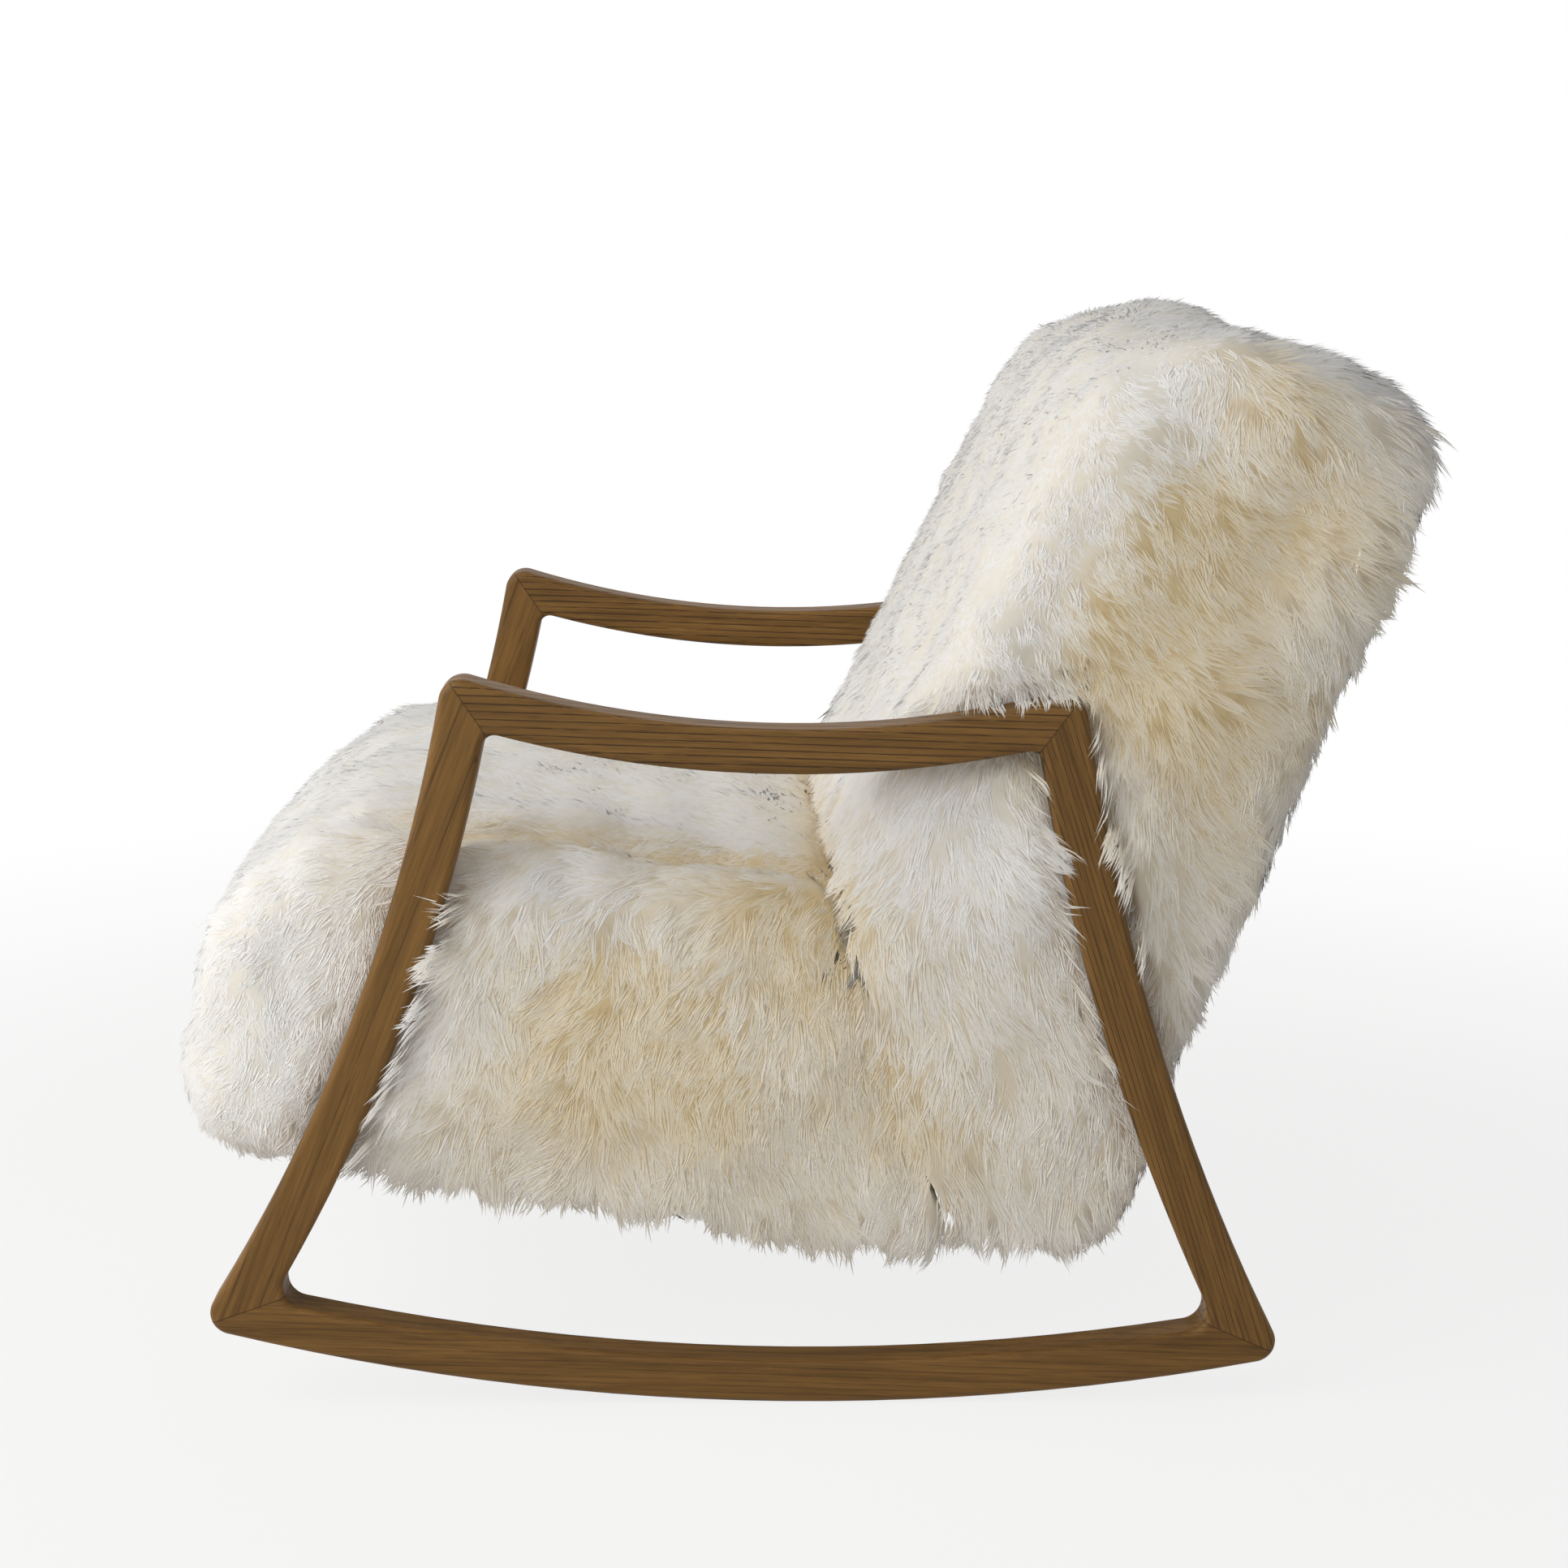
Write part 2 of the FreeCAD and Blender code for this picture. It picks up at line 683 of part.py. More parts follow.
def make_webbing():
    # Straps lie on the seat rails, and on the front faces of the back posts.
    first = front_rail_along + size("rail_thickness")
    step = (rear_rail_along - first) / SEAT_STRAPS
    width = "sizes.strap_width"
    thickness = "sizes.strap_thickness"
    seat_straps = []
    for k in range(SEAT_STRAPS):
        along = first + (k + 0.5) * step - size("strap_width") / 2
        place = lean_place(seat_frame, -strap_reach, along, half_rail)
        seat_straps.append(box(f"seat_strap_{k + 1}", place, strap_length_formula, width, thickness))
    keep(group("seat_webbing", seat_straps), "seat_webbing")

    first = size("lumbar_rail_rise") - size("strap_width")
    step = (size("post_rise") - first) / BACK_STRAPS
    back_straps = []
    for k in range(BACK_STRAPS):
        up = first + (k + 0.5) * step - size("strap_width") / 2
        place = lean_place(back_frame, -strap_reach, back_rail_along - size("strap_thickness"), up)
        back_straps.append(box(f"back_strap_{k + 1}", place, strap_length_formula, thickness, width))
    keep(group("back_webbing", back_straps), "back_webbing")


def make_dust_covers():
    # Thin cloth tacked under the seat rails, and under the ends of the back posts.
    thickness = "sizes.dust_cover_thickness"
    place = lean_place(seat_frame, -strap_reach, front_rail_along, -half_rail - size("dust_cover_thickness"))
    run = rear_rail_along + size("rail_thickness") - front_rail_along
    keep(box("dust_cover", place, strap_length_formula, run, thickness), "dust_cover")
    low = -size("post_drop") - size("dust_cover_thickness")
    place = lean_place(back_frame, -strap_reach, back_rail_along, low)
    run = "sizes.post_depth"
    keep(box("back_dust_cover", place, strap_length_formula, run, thickness), "back_dust_cover")


def make_fixings():
    # Bolts run from inside the rails and posts, through the spacers, into inserts in the legs.
    washer_x = rail_inner - size("washer_thickness")
    hole_radius = "sizes.bolt_radius + sizes.fit_clearance"

    def pierced(label, start_x, radius, length):
        holes = group(f"{label}_bores", across(f"{label}_bore", start_x, bolt_points, hole_radius, length))
        solids = group(f"{label}_blanks", across(f"{label}_blank", start_x, bolt_points, radius, length))
        keep_both(label, cut(f"{label}_left", solids, holes))

    pierced("bolt_washers", washer_x, "sizes.washer_radius", "sizes.washer_thickness")
    pierced("mounting_spacers", rail_outer, "sizes.spacer_radius", "sizes.side_pile")
    pierced("threaded_inserts", inner_face, "sizes.insert_radius", "sizes.insert_length")

    head_x = washer_x - size("bolt_head_height")
    shank = "sizes.washer_thickness + sizes.rail_thickness + sizes.side_pile + sizes.bolt_engagement"
    bolts = []
    heads = across("bolt_head", head_x, bolt_points, "sizes.bolt_head_radius", "sizes.bolt_head_height")
    shanks = across("bolt_shank", washer_x, bolt_points, "sizes.bolt_radius", shank)
    for number, (head, stem) in enumerate(zip(heads, shanks), start=1):
        bolt = doc.addObject("Part::Fuse", f"bolt_{number}")
        bolt.Base = head
        bolt.Tool = stem
        bolts.append(bolt)
    keep_both("mounting_bolts", group("bolts_left", bolts))


def drawn_in(corners, amount):
    # Convex outline with every side moved inwards by the same amount.
    count = len(corners)
    middle = (sum(p[0] for p in corners) / count, sum(p[1] for p in corners) / count)
    sides = []
    for k in range(count):
        start = corners[k]
        end = corners[(k + 1) % count]
        length = between(start, end)
        normal = ((start[1] - end[1]) / length, (end[0] - start[0]) / length)
        depth = normal[0] * (middle[0] - start[0]) + normal[1] * (middle[1] - start[1])
        way = math.copysign(1, depth)
        normal = (way * normal[0], way * normal[1])
        sides.append((normal, normal[0] * start[0] + normal[1] * start[1] + amount))
    moved = []
    for k in range(count):
        (a, b), first = sides[k - 1]
        (c, d), second = sides[k]
        scale = a * d - b * c
        moved.append(((first * d - second * b) / scale, (a * second - c * first) / scale))
    return moved


def rounded_outline(x, corners, radii):
    # Closed wire in the plane at x: straight sides joined by tangent arcs.
    count = len(corners)
    points = [Vector(x, *corner) for corner in corners]
    arcs = []
    for k, here in enumerate(points):
        back = (points[k - 1] - here).normalize()
        ahead = (points[(k + 1) % count] - here).normalize()
        half = back.getAngle(ahead) / 2
        reach = radii[k] / math.tan(half)
        centre = here + (back + ahead).normalize() * (radii[k] / math.sin(half))
        middle = centre + (here - centre).normalize() * radii[k]
        arcs.append((here + back * reach, middle, here + ahead * reach))
    edges = []
    for k, (start, middle, end) in enumerate(arcs):
        edges.append(Part.Arc(start, middle, end).toShape())
        edges.append(Part.LineSegment(end, arcs[(k + 1) % count][0]).toShape())
    return Part.Wire(edges)


def seat_outline(x, swell, inset):
    corners = [
        (size("seat_heel_y"), size("seat_heel_z") - swell * size("seat_belly")),
        (size("seat_rear_y"), size("seat_rear_z") + swell * size("rear_crown")),
        (
            size("seat_brow_y") - swell * size("brow_swell"),
            size("seat_brow_z") + swell * size("seat_crown"),
        ),
        (size("seat_nose_y") - swell * size("nose_swell"), size("seat_nose_z") - swell * size("seat_belly")),
    ]
    brow = size("seat_brow_radius") + swell * size("brow_roll") - inset
    nose = max(size("seat_nose_radius") - inset, HIDDEN_RADIUS)
    return rounded_outline(x, drawn_in(corners, inset), (HIDDEN_RADIUS, HIDDEN_RADIUS, brow, nose))


def back_outline(x, swell, inset):
    front = swell * size("back_front_swell")
    rear = swell * size("back_rear_swell")
    crown = swell * size("back_crown")
    belly = swell * size("back_belly")
    corners = [
        (size("back_foot_y") - front, size("back_foot_z") - belly),
        (size("back_crest_y") - front, size("back_crest_z") + crown),
        (size("back_nape_y") + rear, size("back_nape_z") + crown),
        (size("back_heel_y") + rear, size("back_heel_z") - belly),
    ]
    crest = size("back_crest_radius") - inset
    nape = max(size("back_nape_radius") - inset, HIDDEN_RADIUS)
    heel = max(size("back_heel_radius") - inset, HIDDEN_RADIUS)
    return rounded_outline(x, drawn_in(corners, inset), (HIDDEN_RADIUS, crest, nape, heel))


def loft_across(label, outline, stations):
    # Smooth solid through outlines that stand across the chair, the same on both sides.
    both = [(-x, swell, inset) for x, swell, inset in stations[:0:-1]] + list(stations)
    sections = []
    for number, (x, swell, inset) in enumerate(both, start=1):
        sections.append(shaped(f"{label}_section_{number}", outline(x, swell, inset)))
    loft = doc.addObject("Part::Loft", label)
    loft.Sections = sections
    loft.Solid = True
    return loft


quarter = QUARTER_PLACE * rail_outer
wool_stations = (
    (0, MIDDLE_SWELL, 0),
    (quarter, QUARTER_SWELL, 0),
    (rail_outer, FLANK_SWELL, size("flank_draw")),
    (inner_face, 0, size("shoulder_draw")),
    (inner_face + size("side_swell"), 0, size("edge_draw")),
)
core_stations = (
    (0, MIDDLE_SWELL, size("pile")),
    (quarter, QUARTER_SWELL, size("pile")),
    (rail_outer, FLANK_SWELL, size("pile") + size("flank_draw")),
)


def seat_valleys():
    # Rods that press a furrow into the seat top beside each side panel, parallel to the top's line there.
    rear = Vector(rail_outer - size("valley_inset"), size("seat_rear_y"), size("seat_rear_z"))
    brow = Vector(rear.x, size("seat_brow_y"), size("seat_brow_z"))
    rear.z += FLANK_SWELL * size("rear_crown")
    brow += Vector(0, -FLANK_SWELL * size("brow_swell"), FLANK_SWELL * size("seat_crown"))
    run = brow - rear
    up = run.cross(Vector(1, 0, 0)).normalize()
    start = rear + up * (size("valley_radius") - size("valley_depth") - size("flank_draw")) - run * 0.5
    left = rod("valley_left", start, run, "sizes.valley_radius", "2 * (sizes.seat_rear_y - sizes.seat_brow_y)")
    return group("valleys", [left, mirrored("valley_right", left)])


def back_dent():
    # Rod that presses a shallow furrow across the top of the back, between its crest and its nape.
    crown = QUARTER_SWELL * size("back_crown")
    crest = Vector(-size("frame_width") / 2, size("back_crest_y"), size("back_crest_z") + crown)
    nape = Vector(crest.x, size("back_nape_y"), size("back_nape_z") + crown)
    run = nape - crest
    up = Vector(1, 0, 0).cross(run).normalize()
    share = (size("dent_y") - crest.y) / run.y
    start = crest + run * share + up * (size("dent_radius") - size("dent_depth"))
    return rod("dent", start, Vector(1, 0, 0), "sizes.dent_radius", "sizes.frame_width")


def frame_rooms():
    # The side frame with a little air round it, from which the wool is kept out.
    gap = size("wool_clearance")
    outer_points, inner_points = ring_points(gap, gap)
    faces = []
    for points in (outer_points, inner_points):
        edges = []
        for k, member in enumerate(ring_members):
            arc, _ = arc_between(member.centre, points[k], points[(k + 1) % 4])
            edges.append(arc.toShape())
        faces.append(Part.Face(Part.Wire(edges)))
    ring = faces[0].cut(faces[1])
    # The outline is drawn flat, then turned so that it stands across the chair.
    ring.Placement = Placement(Vector(inner_face - gap, 0, 0), Rotation(Vector(1, 1, 1), 120))
    prism = ring.extrude(Vector(2 * size("member_thickness"), 0, 0))
    inner_rounds = ((inner_points[:2], "upper_inner_radius"), (inner_points[2:], "lower_inner_radius"))
    for points, radius in inner_rounds:
        edges = [prism.getElement(name) for name in edges_near(prism, points)]
        prism = prism.makeFillet(size(radius), edges)
    left = shaped("frame_room_left", prism)
    return left, mirrored("frame_room_right", left)


def make_upholstery():
    gap = size("wool_clearance") / 2
    tuck = size("seam_tuck")
    ahead_of_seam = trim_box("ahead_of_seam", seam_frame, -TRIM, TRIM - gap)
    behind_seam = trim_box("behind_seam", seam_frame, gap, TRIM)
    seat_core_room = trim_box("seat_core_room", seam_frame, -TRIM, TRIM - tuck)
    back_core_room = trim_box("back_core_room", seam_frame, tuck, TRIM)
    between_panels = trim_slab("between_panels", -rail_outer, 2 * rail_outer)
    left_panel_room = trim_slab("left_panel_room", rail_outer, TRIM)

    # The hollow that holds the inner frame: under the seat foam, and behind the back foam.
    half_post = size("post_depth") / 2
    behind_posts = trim_box("behind_posts", back_frame, half_post, TRIM)
    behind_foam = trim_box("behind_foam", back_frame, half_post - size("rail_thickness") / 2, TRIM)
    seat_well_blank = box(
        "seat_well_blank",
        lean_place(seat_frame, -rail_outer, front_rail_along, -TRIM),
        2 * rail_outer,
        TRIM,
        TRIM + half_rail + size("strap_thickness"),
    )
    seat_well = cut("seat_well", seat_well_blank, behind_posts)
    back_well = box(
        "back_well",
        lean_place(back_frame, -rail_outer, -half_post - size("strap_thickness"), -TRIM),
        2 * rail_outer,
        size("post_depth") + size("strap_thickness"),
        TRIM + size("post_rise"),
    )

    def hollowed(label, solid):
        return cut(f"{label}_over_seat_frame", cut(f"{label}_over_posts", solid, back_well), seat_well)

    left_room, right_room = frame_rooms()

    def clear_of_frames(label, solid):
        return cut(f"{label}_clear", cut(f"{label}_clear_left", solid, left_room), right_room)

    seat_wool = clear_of_frames("seat_wool", loft_across("seat_wool", seat_outline, wool_stations))
    back_wool = clear_of_frames("back_wool", loft_across("back_wool", back_outline, wool_stations))
    seat_wool = cut("seat_wool_furrowed", seat_wool, seat_valleys())
    back_wool = cut("back_wool_furrowed", back_wool, back_dent())
    seat_wool = common("seat_wool_trimmed", seat_wool, ahead_of_seam)
    back_wool = common("back_wool_trimmed", back_wool, behind_seam)

    seat_core = loft_across("seat_core_loft", seat_outline, core_stations)
    seat_core = common("seat_core", seat_core, seat_core_room)
    back_core = loft_across("back_core_loft", back_outline, core_stations)
    back_core = cut("back_core", common("back_core_front", back_core, back_core_room), behind_foam)

    keep(hollowed("seat_foam", seat_core), "seat_foam")
    keep(hollowed("back_foam", back_core), "back_foam")

    seat_middle = cut("seat_shell", common("seat_middle", seat_wool, between_panels), seat_core)
    keep(hollowed("seat_sheepskin", seat_middle), "seat_sheepskin")
    back_middle = cut("back_shell", common("back_middle", back_wool, between_panels), back_core)
    back_middle = hollowed("back_sheepskin", back_middle)
    keep(cut("back_front_sheepskin", back_middle, behind_posts), "back_front_sheepskin")
    keep(common("back_rear_sheepskin", back_middle, behind_posts), "back_rear_sheepskin")

    hole_radius = "sizes.spacer_radius + sizes.wool_clearance"
    holes = across("spacer_hole", rail_outer, bolt_points, hole_radius, "sizes.side_pile")
    spacer_holes = group("spacer_holes", holes)
    for name, wool in (("seat_side_sheepskin", seat_wool), ("back_side_sheepskin", back_wool)):
        panel = common(f"{name}_panel", wool, left_panel_room)
        keep_pair(name, cut(f"{name}_left", panel, spacer_holes))


make_side_frames()
make_inner_frame()
make_glue_blocks()
make_webbing()
make_dust_covers()
make_fixings()
make_upholstery()
doc.recompute()

failed = [item.Label for item in doc.Objects if "Invalid" in item.State or "Error" in item.State]
if failed:
    raise RuntimeError(f"failed objects: {failed}")
for item in subparts:
    if item.Shape.isNull() or not item.Shape.isValid() or not item.Shape.Solids:
        raise RuntimeError(f"{item.Label} has no valid solid")

os.makedirs("parts", exist_ok=True)
for item in subparts:
    item.Shape.exportStep(f"parts/{item.Label}.step")
print(f"{len(subparts)} sub-parts written")
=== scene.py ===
import math

import bpy
import numpy as np
from mathutils import Matrix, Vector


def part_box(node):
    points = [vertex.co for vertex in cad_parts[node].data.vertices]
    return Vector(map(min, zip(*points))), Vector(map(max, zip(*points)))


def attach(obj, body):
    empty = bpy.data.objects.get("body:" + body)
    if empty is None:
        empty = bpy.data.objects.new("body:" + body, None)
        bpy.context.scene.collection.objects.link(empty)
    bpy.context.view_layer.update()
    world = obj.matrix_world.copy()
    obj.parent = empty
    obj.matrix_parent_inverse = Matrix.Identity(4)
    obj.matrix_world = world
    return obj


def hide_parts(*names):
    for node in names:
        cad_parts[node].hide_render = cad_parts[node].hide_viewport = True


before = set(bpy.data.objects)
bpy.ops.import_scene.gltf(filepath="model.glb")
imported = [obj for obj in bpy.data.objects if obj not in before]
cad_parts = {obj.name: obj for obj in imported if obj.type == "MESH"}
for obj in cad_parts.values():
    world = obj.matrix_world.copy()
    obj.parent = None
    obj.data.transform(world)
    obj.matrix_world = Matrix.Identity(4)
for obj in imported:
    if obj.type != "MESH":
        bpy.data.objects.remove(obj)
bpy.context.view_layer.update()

# Rocking armchair in long-wool sheepskin on two stained oak side frames.
# Metres in the CAD frame: the sitter faces -Y, +X is the sitter's left, the floor is Z = 0.
print("frame loaded:", len(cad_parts), "nodes")


def tone(code, alpha=1.0):
    # sRGB hex to linear light
    parts = np.array([int(code[k:k + 2], 16) for k in (1, 3, 5)]) / 255
    linear = np.where(parts <= 0.04045, parts / 12.92, ((parts + 0.055) / 1.055) ** 2.4)
    return (*linear.tolist(), alpha)


white, black = (1, 1, 1, 1), (0, 0, 0, 1)


def addNode(tree, kind, sockets=None, stops=None, **settings):
    # settings are the node's own properties; sockets hold values, or the outputs they link from
    node = tree.nodes.new("ShaderNode" + kind)
    for name, value in settings.items():
        setattr(node, name, value)
    for name, value in (sockets or {}).items():
        if isinstance(value, bpy.types.NodeSocket):
            tree.links.new(value, node.inputs[name])
        else:
            node.inputs[name].default_value = value
    if stops:
        ramp = node.color_ramp
        while len(ramp.elements) < len(stops):
            ramp.elements.new(1.0)
        for element, (place, colour) in zip(ramp.elements, stops):
            element.position = place
            element.color = colour if isinstance(colour, tuple) else tone(colour)
    return node


def newMaterial(name):
    # empty node material and its tree
    material = bpy.data.materials.new(name)
    material.use_nodes = True
    material.node_tree.nodes.clear()
    return material, material.node_tree


def placed(name, data):
    # new object at the origin, linked to the scene
    piece = bpy.data.objects.new(name, data)
    bpy.context.scene.collection.objects.link(piece)
    return piece


def unit(vectors):
    return vectors / np.maximum(np.linalg.norm(vectors, axis=-1, keepdims=True), 1e-9)


def smooth(low, high, value):
    # smooth step from 0 at low to 1 at high
    t = np.clip((value - low) / (high - low), 0.0, 1.0)
    return t * t * (3 - 2 * t)


def softNoise(points, wavelength, seed, waves=7):
    # sum of sine waves in fixed random headings, mostly between -1 and 1
    draw = np.random.default_rng(seed)
    heading = unit(draw.normal(size=(waves, 3)))
    pitch = draw.uniform(0.7, 1.5, (waves, 1)) * 2 * math.pi / wavelength
    phase = draw.uniform(0, 2 * math.pi, waves)
    return np.sin(points @ (heading * pitch).T + phase).sum(axis=-1) / 2.6


# Side frames: the arcs of the CAD members, needed for grain, mitres and the wool beside them
frameSizes = {
    "innerFace": 0.306, "outerFace": 0.344,
    "armFront": (-0.271, 0.605), "armRear": (0.229, 0.588), "frontFootY": -0.482, "rearFootY": 0.404,
    "rockerRadius": 1.938, "rockerLowY": 0.025, "rockerDepth": 0.036, "insidePoint": (0.025, 0.3025),
    # bow and depth of the members from the front foot to the rear foot
    "bowed": {"front_leg": (0.0288, 0.040), "armrest": (0.0367, 0.036), "rear_leg": (0.0239, 0.040)},
}


def rockerPoint(y):
    # point of the rocker's lower arc above the floor
    radius = frameSizes["rockerRadius"]
    return np.array([y, radius - math.sqrt(radius ** 2 - (y - frameSizes["rockerLowY"]) ** 2)])


def bowedEdge(start, end, bow):
    # circle through both ends whose middle is pushed by the bow into the frame's opening
    start, end = np.array(start), np.array(end)
    length = np.linalg.norm(end - start)
    radius = length ** 2 / (8 * bow) + bow / 2
    middle = (start + end) / 2
    outward = np.array([end[1] - start[1], start[0] - end[0]]) / length
    if outward @ (middle - np.array(frameSizes["insidePoint"])) < 0:
        outward = -outward
    return middle + outward * (radius - bow), radius


def meetCircles(first, firstRadius, second, secondRadius, near):
    # crossing of two circles that lies nearest to a point
    span = np.linalg.norm(second - first)
    axis = (second - first) / span
    along = (span ** 2 + firstRadius ** 2 - secondRadius ** 2) / (2 * span)
    rise = math.sqrt(max(firstRadius ** 2 - along ** 2, 0.0))
    across = np.array([-axis[1], axis[0]])
    ends = [first + axis * along + across * rise * way for way in (1, -1)]
    return min(ends, key=lambda end: np.linalg.norm(end - near))


corners = [rockerPoint(frameSizes["frontFootY"]), np.array(frameSizes["armFront"]),
           np.array(frameSizes["armRear"]), rockerPoint(frameSizes["rearFootY"])]
members = {}
for k, (name, (bow, depth)) in enumerate(frameSizes["bowed"].items()):
    centre, radius = bowedEdge(corners[k], corners[k + 1], bow)
    members[name] = {"centre": centre, "outer": radius, "inner": radius + depth, "way": 1, "ends": (k, k + 1)}
radius = frameSizes["rockerRadius"]
members["rocker"] = {"centre": np.array([frameSizes["rockerLowY"], radius]), "outer": radius,
                     "inner": radius - frameSizes["rockerDepth"], "way": -1, "ends": (3, 0)}
ring = list(members.values())
innerCorners = [meetCircles(ring[k - 1]["centre"], ring[k - 1]["inner"], ring[k]["centre"], ring[k]["inner"],
                            corners[k]) for k in range(4)]


def ringGap(y, z):
    # distance to the wood in the side view: below zero in the wood, above zero in the opening or outside
    inside, opening = np.full(y.shape, 9.0), np.full(y.shape, 9.0)
    for member in ring:
        reach = np.hypot(y - member["centre"][0], z - member["centre"][1])
        inside = np.minimum(inside, member["way"] * (reach - member["outer"]))
        opening = np.minimum(opening, member["way"] * (reach - member["inner"]))
    return np.maximum(opening, -inside)


# Straight lines of the side view: a point's y and z, and the slope of y over z
sideLines = {
    "rearEdge": (0.261, 0.093, 0.392), "backFront": (0.0376, 0.4443, 0.505), "seam": (0.029, 0.440, -0.325),
    "rearLeg": (0.209, 0.588, -0.303), "frontLeg": (-0.271, 0.605, 0.358),
}


def pastLine(name, y, z):
    # how far a point lies behind a line, along y
    lineY, lineZ, slope = sideLines[name]
    return y - lineY - slope * (z - lineZ)


# Stained oak: planed, stained mid-brown and lacquered satin. Straight grain runs along each board, so its
# dark pore lines run off the curved edges, and the mitres show as thin dark glue lines.
oakLook = {
    "early": "#62451E", "late": "#8B6634", "line": "#2E1B09", "glue": "#2E1B0A",
    "glueWidth": 0.0006, "glueShare": 0.55, "roughness": 0.48, "relief": 0.0004,
    # pores, fibres and broad shades: millimetres across the grain, detail, roughness
    "noises": ((1.3, 2.0, 0.6), (2.4, 3.0, 0.65), (14, 2.0, 0.5)),
    "stretch": 26, "ringScale": 0.045,  # noise and rings are drawn out along the grain
}
# ring spacing across the board, turn of the rings out of the face, how wavy they are,
# how dark their lines are, share of a ring that its line takes up
oakBoards = {
    "armrest": {"spacing": 0.0056, "turn": 20, "wave": 2.4, "lines": 0.85, "open": 0.12},
    "front_leg": {"spacing": 0.0120, "turn": 62, "wave": 3.5, "lines": 0.5, "open": 0.03},
    "rear_leg": {"spacing": 0.0040, "turn": 12, "wave": 1.6, "lines": 0.8, "open": 0.12},
    "rocker": {"spacing": 0.0050, "turn": 30, "wave": 4.5, "lines": 0.45, "open": 0.10},
}
mmScale = 1000.0  # noise cells per metre for a feature of one millimetre
waveTurn = 0.3142  # length of one band of a wave texture at scale 1


def oakBoard(name, look):
    material, tree = newMaterial(f"Stained oak {name.replace('_', ' ')}")
    member = members[name]
    start, end = (corners[k] for k in member["ends"])
    if end[0] < start[0]:
        start, end = end, start
    angle = math.atan2(end[1] - start[1], end[0] - start[0])
    where = addNode(tree, "TexCoord").outputs["Object"]
    # the board's own axes: x through it, y along it, z across it
    lie = addNode(tree, "Mapping", {
        "Vector": where, "Location": (0, *((start + end) / 2)), "Rotation": (angle, 0, 0)},
        vector_type="TEXTURE").outputs["Vector"]
    rings = addNode(tree, "Mapping", {
        "Vector": lie, "Scale": (1, oakLook["ringScale"], 1),
        "Rotation": (0, math.radians(look["turn"]), 0)})
    bands = addNode(tree, "TexWave", {
        "Vector": rings.outputs["Vector"], "Scale": waveTurn / look["spacing"], "Distortion": look["wave"],
        "Detail": 2.0, "Detail Scale": 0.9, "Detail Roughness": 0.45},
        wave_type="BANDS", bands_direction="Z", wave_profile="SAW").outputs["Fac"]
    stretched = addNode(tree, "VectorMath", {0: lie, 1: (1, 1 / oakLook["stretch"], 1)},
                        operation="MULTIPLY").outputs["Vector"]
    dashes, fibre, broad = (addNode(tree, "TexNoise", {
        "Vector": stretched, "Scale": mmScale / size, "Detail": detail, "Roughness": rough}).outputs["Fac"]
        for size, detail, rough in oakLook["noises"])
    # a dark line of pores opens every ring, broken up along the board and wide enough to show
    lineEnd = look["open"] * 1.6 + 0.03
    opening = addNode(tree, "ValToRGB", {"Fac": bands}, stops=(
        (0.0, white), (look["open"], white), (lineEnd, black), (1.0, black))).outputs["Color"]
    broken = addNode(tree, "ValToRGB", {"Fac": dashes}, stops=(
        (0.36, (0.1, 0.1, 0.1, 1)), (0.50, white))).outputs["Color"]
    ringLines = addNode(tree, "Math", {0: opening, 1: broken}, operation="MULTIPLY").outputs[0]
    flecks = addNode(tree, "MapRange", {
        "Value": dashes, "From Min": 0.60, "From Max": 0.70, "To Max": 0.4}).outputs["Result"]
    pores = addNode(tree, "Math", {0: ringLines, 1: flecks}, operation="MAXIMUM").outputs[0]
    poreShare = addNode(tree, "Math", {0: pores, 1: look["lines"]}, operation="MULTIPLY").outputs[0]
    mottle = addNode(tree, "Math", {0: fibre, 1: broad}, operation="ADD").outputs[0]
    ground = addNode(tree, "MapRange", {
        "Value": mottle, "From Min": 0.75, "From Max": 1.30}).outputs["Result"]
    ground = addNode(tree, "Mix", {
        0: ground, 6: tone(oakLook["early"]), 7: tone(oakLook["late"])}, data_type="RGBA").outputs[2]
    stained = addNode(tree, "Mix", {
        0: poreShare, 6: ground, 7: tone(oakLook["line"])}, data_type="RGBA").outputs[2]
    # glue lines: distance from the plane of each mitre
    lines = []
    for k in member["ends"]:
        slope = unit(corners[k] - innerCorners[k])
        normal = (0.0, -slope[1], slope[0])
        level = normal[1] * corners[k][0] + normal[2] * corners[k][1]
        height = addNode(tree, "VectorMath", {0: where, 1: normal}, operation="DOT_PRODUCT").outputs["Value"]
        lines.append(addNode(tree, "Math", {0: height, 1: level, 2: oakLook["glueWidth"]},
                             operation="COMPARE").outputs[0])
    line = addNode(tree, "Math", {0: lines[0], 1: lines[1]}, operation="MAXIMUM").outputs[0]
    lineShare = addNode(tree, "Math", {0: line, 1: oakLook["glueShare"]}, operation="MULTIPLY").outputs[0]
    colour = addNode(tree, "Mix", {
        0: lineShare, 6: stained, 7: tone(oakLook["glue"])}, data_type="RGBA").outputs[2]
    rough = addNode(tree, "MapRange", {
        "Value": fibre, "From Min": 0.3, "From Max": 0.7,
        "To Min": oakLook["roughness"] - 0.05, "To Max": oakLook["roughness"] + 0.10}).outputs["Result"]
    relief = addNode(tree, "Math", {0: fibre, 1: pores}, operation="SUBTRACT").outputs[0]
    bump = addNode(tree, "Bump", {"Height": relief, "Strength": 0.35, "Distance": oakLook["relief"]})
    shader = addNode(tree, "BsdfPrincipled", {
        "Base Color": colour, "Roughness": rough, "Normal": bump.outputs["Normal"], "IOR": 1.5,
        "Specular IOR Level": 0.25})
    addNode(tree, "OutputMaterial", {"Surface": shader.outputs[0]})
    return material


